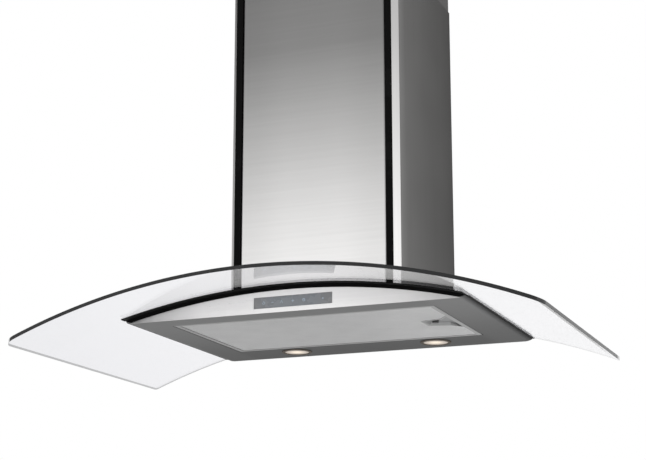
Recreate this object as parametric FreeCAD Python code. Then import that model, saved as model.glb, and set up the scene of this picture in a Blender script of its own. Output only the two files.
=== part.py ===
"""Wall-hung range hood with a curved glass canopy and a two-piece flue cover.

Millimetres.  +X to the right seen from the room, +Y into the wall, +Z up.
The origin lies on the wall plane, on the centre line, level with the flat underside.
"""
import FreeCAD, Part
import math
import os

V = FreeCAD.Vector
X_AXIS = V(1, 0, 0)
Y_AXIS = V(0, 1, 0)
Z_AXIS = V(0, 0, 1)

# Small gaps that keep neighbouring pieces apart.
CLEAR = 0.3
SKIM = 0.1

# Curved glass: a sheet bent about one axis that runs front to back.
GLASS_WIDTH = 900.0
GLASS_DEPTH = 535.0
GLASS_BOW = 9.0
GLASS_THICK = 6.0
GLASS_RADIUS = 1190.0
GLASS_CROWN_Z = 43.0
GLASS_FRONT_CORNER_R = 20.0
GLASS_REAR_CORNER_R = 6.0
GLASS_AXIS_Z = GLASS_CROWN_Z - GLASS_RADIUS
NOTCH_HALF = 134.0
NOTCH_DEPTH = 268.0
NOTCH_CORNER_R = 12.0
FIXING_X = 205.0
FIXING_Y = (-90.0, -330.0)
FIXING_HOLE_R = 5.0

# Canopy body of folded steel sheet.
SHEET = 1.2
BODY_DEPTH = 408.0
FLAT_HALF = 284.0
BEND_R = 23.0
BEND_ANGLE = 31.0
FASCIA_END = 287.0
GASKET_HEIGHT = 7.0
GASKET_DEPTH = 12.5
GASKET_PROUD = 0.6
GASKET_END = 296.4
GASKET_LIP = 15.0
GASKET_LIP_T = 1.5
SIDE_GASKET_INNER = 286.5
UPSTAND_HEIGHT = 9.0
UPSTAND_HALF = 230.0
BACK_PANEL_T = 1.2
TOP_SHEET_T = 1.0
TOP_SHEET_DROP = 2.5
TOP_SHEET_HALF = 285.4
INTAKE_HALF = 112.0
INTAKE_FRONT = -246.0
INTAKE_REAR = -16.0

# Touch control behind a window in the fascia.
WINDOW_LEFT = -61.0
WINDOW_RIGHT = 76.0
WINDOW_LOW = 7.4
WINDOW_HIGH = 26.0
WINDOW_RECESS = 0.7
WINDOW_T = 1.6
WINDOW_PLAY = 0.15
BOARD_T = 1.6
BOARD_MARGIN = 4.0
CHIP_COUNT = 6
CHIP_SIZE = 6.0
CHIP_PITCH = 21.0
CHIP_HEIGHT = 2.0
HOUSING_T = 1.4
HOUSING_DEPTH = 9.0

# Grease filter cassette, its finger recess and its sliding latch.
FILTER_HALF = 230.0
FILTER_FRONT = -361.0
FILTER_REAR = -89.0
FILTER_GAP = 1.5
FILTER_LOW = 0.2
FILTER_HEIGHT = 8.4
FILTER_LIP = 8.0
FILTER_WALL = 1.0
FILTER_LIP_T = 0.8
MESH_T = 0.6
CORE_SHEETS = 4
CORE_SHEET_T = 0.4
LATCH_Y = -221.0
RECESS_LEFT = 172.0
RECESS_NECK = 206.5
RECESS_RIGHT = 221.0
RECESS_HALF_LEFT = 17.5
RECESS_HALF_NECK = 26.0
RECESS_HALF_RIGHT = 47.0
RECESS_DEPTH = 5.2
RECESS_DRAFT = 2.2
RECESS_SHEET = 0.8
LATCH_TRAVEL = 5.5
KNOB_X = 187.5
KNOB_R = 5.5
KNOB_LOW = 0.4
KNOB_ROUND = 1.2
BOLT_HALF = 9.0
BOLT_T = 1.0
BOLT_REACH = 5.5
SPRING_R = 1.8
SPRING_WIRE_R = 0.25
SPRING_PITCH = 2.2
SPRING_TURNS = 6
SPRING_LEFT = 154.0
SPRING_STOP_T = 2.0
TAB_HALF = 12.0
TAB_REACH = 8.0
TAB_Y = (-290.0, -160.0)
CATCH_FOOT = 16.0

# Two round lamps behind the filter.
LAMP_X = 133.5
LAMP_Y = -53.0
LAMP_HOLE_R = 25.2
BEZEL_R = 27.5
BEZEL_INNER_R = 22.5
BEZEL_PROUD = 1.6
BEZEL_COLLAR = 7.0
LENS_R = 22.2
LENS_T = 2.0
REFLECTOR_MOUTH_R = 21.5
REFLECTOR_NECK_R = 8.0
REFLECTOR_LOW = 2.4
REFLECTOR_HIGH = 19.0
REFLECTOR_T = 0.6
BULB_R = 4.5
BULB_LIFT = 4.0
SOCKET_SIZE = 15.0
SOCKET_HEIGHT = 7.5

# Motor box: the sheet steel case that hangs on the wall and carries the rest.
BOX_HALF = 128.0
BOX_DEPTH = 262.0
BOX_TOP = 300.0
BOX_FLANGE = 12.0
WALL_HOLE_X = 80.0
WALL_HOLE_Z = (100.0, 260.0)
WALL_HOLE_R = 3.5
OUTLET_Y = -160.0
OUTLET_HOLE_R = 70.0
EAR_Z = 200.0
EAR_FRONT = -205.0
EAR_REAR = -165.0

# Double-inlet blower with its motor inside the left half of the wheel.
FAN_Y = -122.0
FAN_Z = 140.0
SCROLL_START_R = 72.0
SCROLL_STEP = 14.0
SCROLL_HALF = 62.0
BAND_T = 1.0
SCROLL_RIM = 2.0
THROAT_REAR_Y = -96.0
FLANGE_FRONT_Y = -226.0
INLET_R = 54.0
INLET_LIP = 4.0
WHEEL_OUTER_R = 62.0
WHEEL_INNER_R = 52.0
WHEEL_HALF = 50.0
WHEEL_RING_T = 2.0
WHEEL_HUB_R = 10.0
WHEEL_HUB_LEFT = -4.0
WHEEL_HUB_RIGHT = 10.0
BLADE_COUNT = 36
BLADE_T = 0.8
BLADE_LEAN = 32.0
BLADE_END_GAP = 0.75
SHAFT_R = 4.0
SHAFT_FIT = 0.01
SHAFT_LEFT = -66.0
SHAFT_RIGHT = 12.0
BEARING_CLEAR = 0.05
MOTOR_R = 40.0
MOTOR_LEFT = -68.0
MOTOR_RIGHT = -9.0
MOTOR_BOSS_R = 15.0
MOTOR_BOSS_H = 3.0
MOTOR_ROUND = 5.0
MOTOR_END_WALL = 1.6
ARM_COUNT = 3
ARM_WIDTH = 11.0
ARM_T = 2.0
ARM_REACH = 66.0
SPIDER_R = 21.0
ARM_FOOT_R = 58.0
CAPACITOR_R = 15.0
CAPACITOR_HEIGHT = 62.0
CAPACITOR_X = -98.0
CAPACITOR_Y = -42.0
CAPACITOR_Z = 62.0
CAPACITOR_ROUND = 2.0
STRAP_LOW = 84.0
STRAP_HIGH = 96.0
TERMINAL_DEPTH = 17.0
TERMINAL_FRONT = -122.0
TERMINAL_REAR = -52.0
TERMINAL_LOW = 112.0
TERMINAL_HIGH = 182.0
TERMINAL_ROUND = 2.5
GLAND_R = 7.0
GLAND_BORE_R = 4.0
GLAND_LENGTH = 15.0
GLAND_NUT_R = 8.0
GLAND_NUT_H = 5.0
TRANSFORMER_LOW = 60.0
TRANSFORMER_HIGH = 98.0
TRANSFORMER_LEFT = 92.0
TRANSFORMER_FRONT = -72.0
TRANSFORMER_REAR = -24.0
TRANSFORMER_ROUND = 2.0

# Duct outlet with two backdraught flaps.
COLLAR_R = 74.0
COLLAR_WALL = 2.0
COLLAR_TOP = 352.0
COLLAR_FLANGE_HALF = 80.0
COLLAR_FLANGE_T = 2.5
COLLAR_CORNER_R = 8.0
COLLAR_SCREW_INSET = 9.0
FLAP_PIN_Z = 317.0
FLAP_PIN_R = 2.0
FLAP_R = 70.6
FLAP_T = 1.5
FLAP_DROP = 2.8
FLAP_INNER = 4.3
KNUCKLE_R = 3.6
KNUCKLE_BORE_R = 2.3
FRONT_KNUCKLES = ((-58.0, -32.0), (4.0, 28.0))
REAR_KNUCKLES = ((-28.0, -4.0), (32.0, 58.0))
SEAT_HEIGHT = 3.0
SEAT_WIDTH = 3.5

# Flue cover: a fixed lower sleeve and an upper sleeve that slides inside it.
FLUE_HALF = 154.6
FLUE_SIDE_DEPTH = 295.5
FLUE_NOSE_X = 145.2
FLUE_NOSE_Y = -307.3
FLUE_WALL_Y = -303.5
FLUE_SHEET = 1.0
FLUE_TOP = 640.0
FLUE_RETURN = 12.0
SEAM_WIDTH = 0.9
SEAM_DEPTH = 0.5
PANEL_HALF = 132.8
PANEL_FRONT_Y = -306.9
PANEL_ROLL_R = 6.0
PANEL_ROLL_ANGLE = 55.0
TRIM_INNER = 133.2
TRIM_OUTER = 144.9
TRIM_FRONT_Y = -307.7
TRIM_ROUND = 1.0
UPPER_HALF = 153.0
UPPER_SHEET = 0.8
UPPER_SIDE_DEPTH = 294.6
UPPER_NOSE_X = 147.0
UPPER_FRONT_Y = -301.9
UPPER_REAR_Y = -1.3
UPPER_LOW = 370.0
UPPER_TOP = 780.0
VENT_COUNT = 7
VENT_PITCH = 9.0
VENT_HEIGHT = 3.0
VENT_FRONT = -200.0
VENT_REAR = -90.0
VENT_TOP_Z = 764.0
BRACKET_Z = 742.0
BRACKET_HEIGHT = 30.0
BRACKET_HALF = 138.0
BRACKET_HOLE_X = 100.0
BRACKET_HOLE_R = 3.0
BRACKET_JOGGLE_Y = -4.7
BRACKET_TAB_Y = -36.0

# Fasteners.
CAP_R = 10.0
CAP_HEIGHT = 4.0
CAP_ROUND = 1.6
WASHER_R = 9.0
WASHER_T = 1.0
STUD_R = 2.5
SCREW_HEAD_R = 3.5
SCREW_HEAD_H = 1.8
SCREW_ROUND = 0.8
SCREW_R = 1.8
SCREW_LENGTH = 6.0
STUD_X = (-200.0, -120.0, 120.0, 200.0)
STUD_NUT_R = 3.0
STUD_NUT_H = 2.4
BOX_SCREW_Z = (80.0, 170.0, 282.0)


def box(x0, x1, y0, y1, z0, z1):
    """Block between two corners."""
    return Part.makeBox(x1 - x0, y1 - y0, z1 - z0, V(x0, y0, z0))


def mirrored(shape):
    """The same shape on the other side of the centre line."""
    return shape.mirror(V(0, 0, 0), X_AXIS)


def prism(points, along):
    """Straight-sided solid from a closed outline, pushed along a vector."""
    return Part.Face(Part.makePolygon(points + points[:1])).extrude(along)


def arc_edge(start, middle, end):
    """Circular edge through three points."""
    return Part.Arc(start, middle, end).toShape()


def line_edge(start, end):
    """Straight edge."""
    return Part.LineSegment(start, end).toShape()


def arch_z(x, drop=0.0):
    """Height at x of the arc that runs a set distance under the glass underside."""
    return GLASS_AXIS_Z + math.sqrt((GLASS_RADIUS - drop) ** 2 - x ** 2)


def arch_arc(drop, x0, x1, y):
    """Edge from x0 to x1 along the arc under the glass."""
    points = []
    for x in (x0, (x0 + x1) / 2, x1):
        points.append(V(x, y, arch_z(x, drop)))
    return arc_edge(*points)


def arch_band(drop_low, drop_high, x0, x1, y0, y1):
    """Curved layer between two arcs that follow the glass."""
    top = arch_arc(drop_high, x0, x1, y0)
    low = arch_arc(drop_low, x0, x1, y0)
    right = line_edge(V(x1, y0, arch_z(x1, drop_high)), V(x1, y0, arch_z(x1, drop_low)))
    left = line_edge(V(x0, y0, arch_z(x0, drop_high)), V(x0, y0, arch_z(x0, drop_low)))
    wire = Part.Wire(Part.__sortEdges__([top, right, low, left]))
    return Part.Face(wire).extrude(V(0, y1 - y0, 0))


def arch_plate(z0, drop, x0, x1, y0, y1):
    """Upright plate with a flat foot and a top that follows the glass."""
    top = arch_arc(drop, x0, x1, y0)
    right = line_edge(V(x1, y0, arch_z(x1, drop)), V(x1, y0, z0))
    low = line_edge(V(x1, y0, z0), V(x0, y0, z0))
    left = line_edge(V(x0, y0, z0), V(x0, y0, arch_z(x0, drop)))
    wire = Part.Wire(Part.__sortEdges__([top, right, low, left]))
    return Part.Face(wire).extrude(V(0, y1 - y0, 0))


def ring(outer_r, inner_r, height, base, axis=Z_AXIS):
    """Round tube or washer."""
    outer = Part.makeCylinder(outer_r, height, base, axis)
    return outer.cut(Part.makeCylinder(inner_r, height, base, axis))


def glass_normal(x):
    """Outward direction of the glass at x."""
    return V(x, 0, arch_z(x) - GLASS_AXIS_Z).normalize()


def glass_point(x, y, drop):
    """Point on the normal through the glass at x, a set distance under its underside."""
    normal = glass_normal(x)
    return V(0, y, GLASS_AXIS_Z) + normal * (GLASS_RADIUS - drop)


def fixing_places():
    """The four places where the glass is screwed down."""
    return [(side * FIXING_X, y) for side in (-1, 1) for y in FIXING_Y]


def fixing_holes(radius, drop_low, drop_high):
    """Cylinders square to the glass at the four fixing places."""
    holes = []
    for x, y in fixing_places():
        base = glass_point(x, y, drop_low)
        holes.append(Part.makeCylinder(radius, drop_low - drop_high, base, glass_normal(x)))
    return holes


def glass_plan():
    """Plan outline of the glass as a tall block with rounded corners."""
    half = GLASS_WIDTH / 2
    rear_left = V(-half, 0, -GLASS_WIDTH)
    rear_right = V(half, 0, -GLASS_WIDTH)
    front_left = V(-half, -GLASS_DEPTH, -GLASS_WIDTH)
    front_right = V(half, -GLASS_DEPTH, -GLASS_WIDTH)
    front_middle = V(0, -GLASS_DEPTH - GLASS_BOW, -GLASS_WIDTH)
    edges = [line_edge(rear_left, rear_right), line_edge(rear_right, front_right),
             arc_edge(front_right, front_middle, front_left), line_edge(front_left, rear_left)]
    block = Part.Face(Part.Wire(edges)).extrude(V(0, 0, 2 * GLASS_WIDTH))
    for radius, at_front in ((GLASS_FRONT_CORNER_R, True), (GLASS_REAR_CORNER_R, False)):
        corners = []
        for edge in block.Edges:
            low, high = edge.BoundBox.ZMin, edge.BoundBox.ZMax
            upright = high - low > GLASS_WIDTH
            if upright and (edge.BoundBox.YMax < -GLASS_DEPTH / 2) == at_front:
                corners.append(edge)
        block = block.makeFillet(radius, corners)
    notch = box(-NOTCH_HALF, NOTCH_HALF, -NOTCH_DEPTH, GLASS_BOW, -GLASS_WIDTH, GLASS_WIDTH)
    inner = [e for e in notch.Edges if e.Length > GLASS_WIDTH and e.BoundBox.YMax < -CLEAR]
    return block.cut(notch.makeFillet(NOTCH_CORNER_R, inner))


def glass_canopy():
    """Bent glass sheet with a notch for the motor box and four fixing holes."""
    reach = GLASS_WIDTH / 2 + GLASS_BOW
    front = -GLASS_DEPTH - 2 * GLASS_BOW
    sheet = arch_band(0.0, -GLASS_THICK, -reach, reach, front, GLASS_BOW).common(glass_plan())
    for hole in fixing_holes(FIXING_HOLE_R, GLASS_THICK, -2 * GLASS_THICK):
        sheet = sheet.cut(hole)
    return sheet.Solids[0]


def bend_point(radius, angle):
    """Point on the right-hand bend of the tray, at an angle from straight down."""
    turn = math.radians(angle)
    return FLAT_HALF + radius * math.sin(turn), BEND_R - radius * math.cos(turn)


def bend_arc(radius, sign, y, angle=BEND_ANGLE):
    """Edge along one bend of the tray, from the flat up to an angle."""
    points = []
    for part in (0.0, 0.5, 1.0):
        x, z = bend_point(radius, angle * part)
        points.append(V(sign * x, y, z))
    return arc_edge(*points)


def tray_section(y):
    """End-on section of the tray: a flat sheet with both sides turned up."""
    inner_r = BEND_R - SHEET
    edges = []
    for radius, z in ((BEND_R, 0.0), (inner_r, SHEET)):
        edges.append(line_edge(V(-FLAT_HALF, y, z), V(FLAT_HALF, y, z)))
        edges.append(bend_arc(radius, 1, y))
        edges.append(bend_arc(radius, -1, y))
    for sign in (-1, 1):
        outer_x, outer_z = bend_point(BEND_R, BEND_ANGLE)
        inner_x, inner_z = bend_point(inner_r, BEND_ANGLE)
        edges.append(line_edge(V(sign * outer_x, y, outer_z), V(sign * inner_x, y, inner_z)))
    return Part.Face(Part.Wire(Part.__sortEdges__(edges)))


def tray_space(y0, y1):
    """Space taken by the tray, flat and bends, and all that lies under it."""
    flat = box(-FLAT_HALF, FLAT_HALF, y0, y1, -BEND_R, SHEET + SKIM)
    block = box(FLAT_HALF, FLAT_HALF + 2 * BEND_R, y0, y1, -BEND_R, BEND_R)
    hollow = Part.makeCylinder(BEND_R - SHEET - SKIM, y1 - y0, V(FLAT_HALF, y0, BEND_R), Y_AXIS)
    bend = block.cut(hollow)
    return [flat, bend, mirrored(bend)]


def canopy_tray():
    """Underside sheet with the filter opening, lamp holes and a low front upstand."""
    front = -BODY_DEPTH + SHEET
    tray = tray_section(front).extrude(V(0, -front - BACK_PANEL_T - SKIM, 0))
    upstand = box(-UPSTAND_HALF, UPSTAND_HALF, front, front + SHEET, 0.0, UPSTAND_HEIGHT)
    tray = tray.fuse(upstand).cut(window_cut(front - SHEET, front + 2 * SHEET))
    tray = tray.cut(box(-FILTER_HALF - FILTER_GAP, FILTER_HALF + FILTER_GAP,
                        FILTER_FRONT - FILTER_GAP, FILTER_REAR + FILTER_GAP, -SHEET, 2 * SHEET))
    for sign in (-1, 1):
        base = V(sign * LAMP_X, LAMP_Y, -SHEET)
        tray = tray.cut(Part.makeCylinder(LAMP_HOLE_R, 3 * SHEET, base))
    return tray.removeSplitter()


def window_cut(y0, y1, grow=0.0):
    """Block of the window opening, with an all-round margin."""
    return box(WINDOW_LEFT - grow, WINDOW_RIGHT + grow, y0, y1, WINDOW_LOW - grow, WINDOW_HIGH + grow)


def front_fascia():
    """Bow-shaped front plate: straight foot, arched top, opening for the control window."""
    y = -BODY_DEPTH
    end_angle = math.degrees(math.asin((FASCIA_END - FLAT_HALF) / BEND_R))
    end_x, end_z = bend_point(BEND_R, end_angle)
    edges = [line_edge(V(-FLAT_HALF, y, 0), V(FLAT_HALF, y, 0)),
             bend_arc(BEND_R, 1, y, end_angle),
             bend_arc(BEND_R, -1, y, end_angle),
             arch_arc(GASKET_HEIGHT, -end_x, end_x, y)]
    for sign in (-1, 1):
        top = V(sign * end_x, y, arch_z(end_x, GASKET_HEIGHT))
        edges.append(line_edge(V(sign * end_x, y, end_z), top))
    plate = Part.Face(Part.Wire(Part.__sortEdges__(edges))).extrude(V(0, SHEET, 0))
    return plate.cut(window_cut(y - SHEET, y + 2 * SHEET))


def glass_front_gasket():
    """Black rubber strip between the fascia and the glass, with a thin lip under the glass."""
    y0 = -BODY_DEPTH - GASKET_PROUD
    strip = arch_band(GASKET_HEIGHT, SKIM, -GASKET_END, GASKET_END, y0, y0 + GASKET_DEPTH)
    lip = arch_band(GASKET_LIP_T, SKIM, -GASKET_END, GASKET_END, y0 - GASKET_LIP, y0)
    strip = strip.fuse(lip)
    for block in tray_space(y0 - 1.0, y0 + GASKET_DEPTH + 1.0):
        strip = strip.cut(block)
    return strip.removeSplitter().Solids[0]


def glass_side_gasket(sign):
    """Wedge of rubber between the turned-up side of the tray and the glass."""
    y0 = -BODY_DEPTH - GASKET_PROUD + GASKET_DEPTH + SKIM
    y1 = -BACK_PANEL_T - SKIM
    strip = arch_band(GASKET_HEIGHT, SKIM, SIDE_GASKET_INNER, GASKET_END, y0, y1)
    for block in tray_space(y0 - 1.0, y1 + 1.0):
        strip = strip.cut(block)
    strip = strip.Solids[0]
    return strip if sign > 0 else mirrored(strip)


def canopy_top_sheet():
    """Arched cover of the air chamber, with its skirt, side flanges and intake opening."""
    half = TOP_SHEET_HALF
    front = -BODY_DEPTH + GASKET_DEPTH + SHEET
    rear = -BACK_PANEL_T - SKIM
    low_drop = TOP_SHEET_DROP + TOP_SHEET_T
    foot = SHEET + SKIM
    sheet = arch_band(low_drop, TOP_SHEET_DROP, -half, half, front, rear)
    skirt = arch_plate(foot, TOP_SHEET_DROP, -half, half, front, front + TOP_SHEET_T)
    sheet = sheet.fuse(skirt)
    for x0, x1 in ((-half, -half + TOP_SHEET_T), (half - TOP_SHEET_T, half)):
        sheet = sheet.fuse(arch_plate(foot, TOP_SHEET_DROP, x0, x1, front, rear))
    sheet = sheet.cut(box(-INTAKE_HALF, INTAKE_HALF, INTAKE_FRONT, INTAKE_REAR, 0.0, BOX_TOP))
    for hole in fixing_holes(STUD_R + CLEAR, 2 * GLASS_THICK, 0.0):
        sheet = sheet.cut(hole)
    return sheet.removeSplitter()


def canopy_back_panel():
    """Rear plate that closes the canopy against the wall."""
    return arch_plate(0.0, TOP_SHEET_DROP, -FLAT_HALF, FLAT_HALF, -BACK_PANEL_T, 0.0)


def display_window():
    """Smoked touch window, set a little behind the face of the fascia."""
    y0 = -BODY_DEPTH + WINDOW_RECESS
    return window_cut(y0, y0 + WINDOW_T, -WINDOW_PLAY)


def control_board():
    """Circuit board of the touch control with its small parts."""
    y0 = -BODY_DEPTH + WINDOW_RECESS + WINDOW_T + SKIM
    board = window_cut(y0, y0 + BOARD_T, BOARD_MARGIN)
    middle_x = (WINDOW_LEFT + WINDOW_RIGHT) / 2
    middle_z = (WINDOW_LOW + WINDOW_HIGH) / 2
    for number in range(CHIP_COUNT):
        x = middle_x + (number - (CHIP_COUNT - 1) / 2) * CHIP_PITCH
        chip = box(x - CHIP_SIZE / 2, x + CHIP_SIZE / 2, y0 + BOARD_T - SKIM, y0 + BOARD_T + CHIP_HEIGHT,
                   middle_z - CHIP_SIZE / 3, middle_z + CHIP_SIZE / 3)
        board = board.fuse(chip)
    return board


def control_board_housing():
    """Plastic trough that holds the circuit board against the fascia."""
    y0 = -BODY_DEPTH + WINDOW_RECESS + WINDOW_T + BOARD_T + CLEAR
    y1 = -BODY_DEPTH + WINDOW_RECESS + WINDOW_T + HOUSING_DEPTH
    outer = window_cut(y0, y1, BOARD_MARGIN)
    inner = window_cut(y0 - 1.0, y1 - HOUSING_T, BOARD_MARGIN - HOUSING_T)
    return outer.cut(inner)


def filter_frame():
    """Channel-section frame of the grease filter, with two hinge tabs on its left."""
    z0 = FILTER_LOW
    z1 = FILTER_LOW + FILTER_HEIGHT
    block = box(-FILTER_HALF, FILTER_HALF, FILTER_FRONT, FILTER_REAR, z0, z1)
    window = box(-FILTER_HALF + FILTER_LIP, FILTER_HALF - FILTER_LIP,
                 FILTER_FRONT + FILTER_LIP, FILTER_REAR - FILTER_LIP, z0 - 1.0, z1 + 1.0)
    channel = filter_layer(z0 + FILTER_LIP_T, z1 - FILTER_LIP_T, 0.0)
    frame = block.cut(window).cut(channel)
    bolt_slot = box(FILTER_HALF - 2 * FILTER_WALL, FILTER_HALF + 1.0,
                    LATCH_Y - BOLT_HALF - CLEAR, LATCH_Y + BOLT_HALF + CLEAR,
                    bolt_z() - CLEAR, bolt_z() + BOLT_T + CLEAR)
    frame = frame.cut(bolt_slot)
    for y in TAB_Y:
        tab = box(-FILTER_HALF - TAB_REACH, -FILTER_HALF + FILTER_WALL / 2,
                  y - TAB_HALF, y + TAB_HALF, SHEET + CLEAR, SHEET + CLEAR + FILTER_WALL)
        frame = frame.fuse(tab)
    return frame.removeSplitter()


def filter_layer(z0, z1, gap):
    """Flat layer that fills the filter frame between two heights."""
    reach = FILTER_WALL + gap
    return box(-FILTER_HALF + reach, FILTER_HALF - reach,
               FILTER_FRONT + reach, FILTER_REAR - reach, z0, z1)


def bolt_z():
    """Height of the underside of the latch bolt, just above the recess floor."""
    return FILTER_LOW + FILTER_LIP_T + RECESS_DEPTH + CLEAR


def recess_z():
    """Height of the rim of the finger recess, on the bottom lip of the frame."""
    return FILTER_LOW + FILTER_LIP_T - SKIM


def recess_outline(z, inset):
    """Arrow-shaped outline of the finger recess at a height."""
    half = [(RECESS_LEFT + inset, RECESS_HALF_LEFT - inset),
            (RECESS_NECK, RECESS_HALF_NECK - inset),
            (RECESS_RIGHT - inset, RECESS_HALF_RIGHT - inset)]
    points = [(x, -y) for x, y in half] + half[::-1]
    return Part.makePolygon([V(x, LATCH_Y + y, z) for x, y in points + points[:1]])


def recess_block(z0, z1, grow):
    """Tapered block of the finger recess between two heights."""
    return Part.makeLoft([recess_outline(z0, -grow), recess_outline(z1, RECESS_DRAFT - grow)], True, True)


def filter_opening(z0, z1):
    """Block that clears the mesh layers round the recess and the latch."""
    reach = RECESS_HALF_RIGHT + 1.0
    return box(SPRING_LEFT - SPRING_STOP_T - 1.0, FILTER_HALF, LATCH_Y - reach, LATCH_Y + reach, z0, z1)


def filter_front_mesh():
    """Outer aluminium mesh, seen from below, cut round the finger recess."""
    z0 = FILTER_LOW + FILTER_LIP_T + SKIM
    sheet = filter_layer(z0, z0 + MESH_T, SKIM)
    return sheet.cut(recess_block(recess_z(), recess_z() + RECESS_DEPTH, CLEAR)).Solids[0]


def filter_mesh_core():
    """Pack of expanded mesh layers between the two outer sheets."""
    low = FILTER_LOW + FILTER_LIP_T + MESH_T + 2 * SKIM
    high = FILTER_LOW + FILTER_HEIGHT - FILTER_LIP_T - MESH_T - 2 * SKIM
    pitch = (high - low - CORE_SHEET_T) / (CORE_SHEETS - 1)
    layers = []
    for number in range(CORE_SHEETS):
        z = low + number * pitch
        layers.append(filter_layer(z, z + CORE_SHEET_T, SKIM).cut(filter_opening(low - 1.0, high + 1.0)))
    return Part.makeCompound(layers)


def filter_back_mesh():
    """Inner aluminium mesh sheet."""
    z1 = FILTER_LOW + FILTER_HEIGHT - FILTER_LIP_T - SKIM
    sheet = filter_layer(z1 - MESH_T, z1, SKIM)
    return sheet.cut(filter_opening(z1 - MESH_T - 1.0, z1 + 1.0))


def filter_handle_recess():
    """Pressed finger recess with the slot that the latch knob slides in."""
    z0 = recess_z()
    z1 = z0 + RECESS_DEPTH
    cup = recess_block(z0, z1, 0.0).cut(recess_block(z0 - SKIM, z1 - RECESS_SHEET, -RECESS_SHEET))
    slot = box(KNOB_X - LATCH_TRAVEL - KNOB_R - CLEAR, KNOB_X + KNOB_R + CLEAR,
               LATCH_Y - KNOB_R - CLEAR, LATCH_Y + KNOB_R + CLEAR, z0, z1 + 1.0)
    cup = cup.cut(slot)
    step = FILTER_LOW + FILTER_LIP_T + MESH_T + 2 * SKIM
    shelf = box(SPRING_LEFT - SPRING_STOP_T, RECESS_LEFT + 2 * RECESS_SHEET,
                LATCH_Y - BOLT_HALF, LATCH_Y + BOLT_HALF, step, step + RECESS_SHEET)
    stop = box(SPRING_LEFT - SPRING_STOP_T, SPRING_LEFT - SKIM, LATCH_Y - BOLT_HALF / 2,
               LATCH_Y + BOLT_HALF / 2, step, bolt_z() + BOLT_T)
    shelf = shelf.cut(recess_block(z0, z1, 0.0))
    return cup.fuse(shelf).fuse(stop).removeSplitter()


def latch_heel():
    """Left end of the slider, where the spring pushes."""
    return SPRING_LEFT + spring_length() + SKIM


def spring_length():
    """Free space that the latch spring fills at rest."""
    return SPRING_TURNS * SPRING_PITCH + 2 * SPRING_WIRE_R


def filter_latch_slider():
    """Sprung latch: thumb knob, flat slide and the bolt that passes the frame."""
    z0 = bolt_z()
    slide = box(latch_heel(), FILTER_HALF + BOLT_REACH, LATCH_Y - BOLT_HALF, LATCH_Y + BOLT_HALF,
                z0, z0 + BOLT_T)
    knob = Part.makeCylinder(KNOB_R, z0 - KNOB_LOW + SKIM, V(KNOB_X, LATCH_Y, KNOB_LOW))
    knob = knob.makeFillet(KNOB_ROUND, [e for e in knob.Edges if e.BoundBox.ZMax < KNOB_LOW + SKIM])
    heel_low = z0 - 2 * SPRING_R
    heel = box(latch_heel(), latch_heel() + BOLT_T, LATCH_Y - BOLT_HALF / 2,
               LATCH_Y + BOLT_HALF / 2, heel_low, z0 + SKIM)
    return slide.fuse(knob).fuse(heel).removeSplitter()


def filter_latch_spring():
    """Small coil spring that pushes the bolt out."""
    length = spring_length() - 2 * SPRING_WIRE_R
    helix = Part.makeHelix(SPRING_PITCH, length, SPRING_R)
    start = helix.Edges[0].valueAt(helix.Edges[0].FirstParameter)
    tangent = helix.Edges[0].tangentAt(helix.Edges[0].FirstParameter)
    section = Part.Wire(Part.makeCircle(SPRING_WIRE_R, start, tangent))
    coil = Part.Wire(helix).makePipeShell([section], True, True)
    coil.rotate(V(0, 0, 0), Y_AXIS, 90)
    centre_z = bolt_z() - SPRING_R + CLEAR
    coil.translate(V(SPRING_LEFT + SPRING_WIRE_R, LATCH_Y, centre_z))
    return coil


def filter_catch_plate():
    """Folded catch on the tray that the latch bolt rests on."""
    edge = FILTER_HALF + FILTER_GAP + CLEAR
    y0 = LATCH_Y - 2 * BOLT_HALF
    y1 = LATCH_Y + 2 * BOLT_HALF
    top = bolt_z() - CLEAR
    foot = box(edge, edge + CATCH_FOOT, y0, y1, SHEET + SKIM, 2 * SHEET)
    riser = box(edge, edge + SHEET, y0, y1, SHEET + SKIM, top)
    shelf = box(edge, edge + 6 * SHEET, y0, y1, top - SHEET, top)
    return foot.fuse(riser).fuse(shelf).removeSplitter()


def lamp_bezel(x):
    """Trim ring of a lamp, with the collar that passes the tray."""
    low = V(x, LAMP_Y, -BEZEL_PROUD)
    rim = ring(BEZEL_R, BEZEL_INNER_R, BEZEL_PROUD - SKIM, low)
    outer = [e for e in rim.Edges if e.BoundBox.ZMax < -BEZEL_PROUD + SKIM]
    rim = rim.makeChamfer(BEZEL_PROUD / 2, outer[:1])
    collar = ring(LAMP_HOLE_R - CLEAR, BEZEL_INNER_R, BEZEL_COLLAR, V(x, LAMP_Y, -BEZEL_PROUD + SKIM))
    return rim.fuse(collar).removeSplitter()


def lamp_lens(x):
    """Frosted cover glass of a lamp."""
    return Part.makeCylinder(LENS_R, LENS_T, V(x, LAMP_Y, -BEZEL_PROUD / 2))


def lamp_reflector(x):
    """Thin dished reflector above the lens."""
    height = REFLECTOR_HIGH - REFLECTOR_LOW
    outer = Part.makeCone(REFLECTOR_MOUTH_R + REFLECTOR_T, REFLECTOR_NECK_R + REFLECTOR_T,
                          height, V(x, LAMP_Y, REFLECTOR_LOW))
    inner = Part.makeCone(REFLECTOR_MOUTH_R, REFLECTOR_NECK_R, height, V(x, LAMP_Y, REFLECTOR_LOW))
    return outer.cut(inner)


def lamp_bulb(x):
    """Capsule bulb inside the reflector."""
    low = REFLECTOR_LOW + BULB_LIFT
    body = Part.makeCylinder(BULB_R, REFLECTOR_HIGH - low, V(x, LAMP_Y, low))
    return body.fuse(Part.makeSphere(BULB_R, V(x, LAMP_Y, low))).removeSplitter()


def lamp_socket(x):
    """Ceramic holder on top of the reflector."""
    half = SOCKET_SIZE / 2
    low = REFLECTOR_HIGH + SKIM
    return box(x - half, x + half, LAMP_Y - half, LAMP_Y + half, low, low + SOCKET_HEIGHT)


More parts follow.
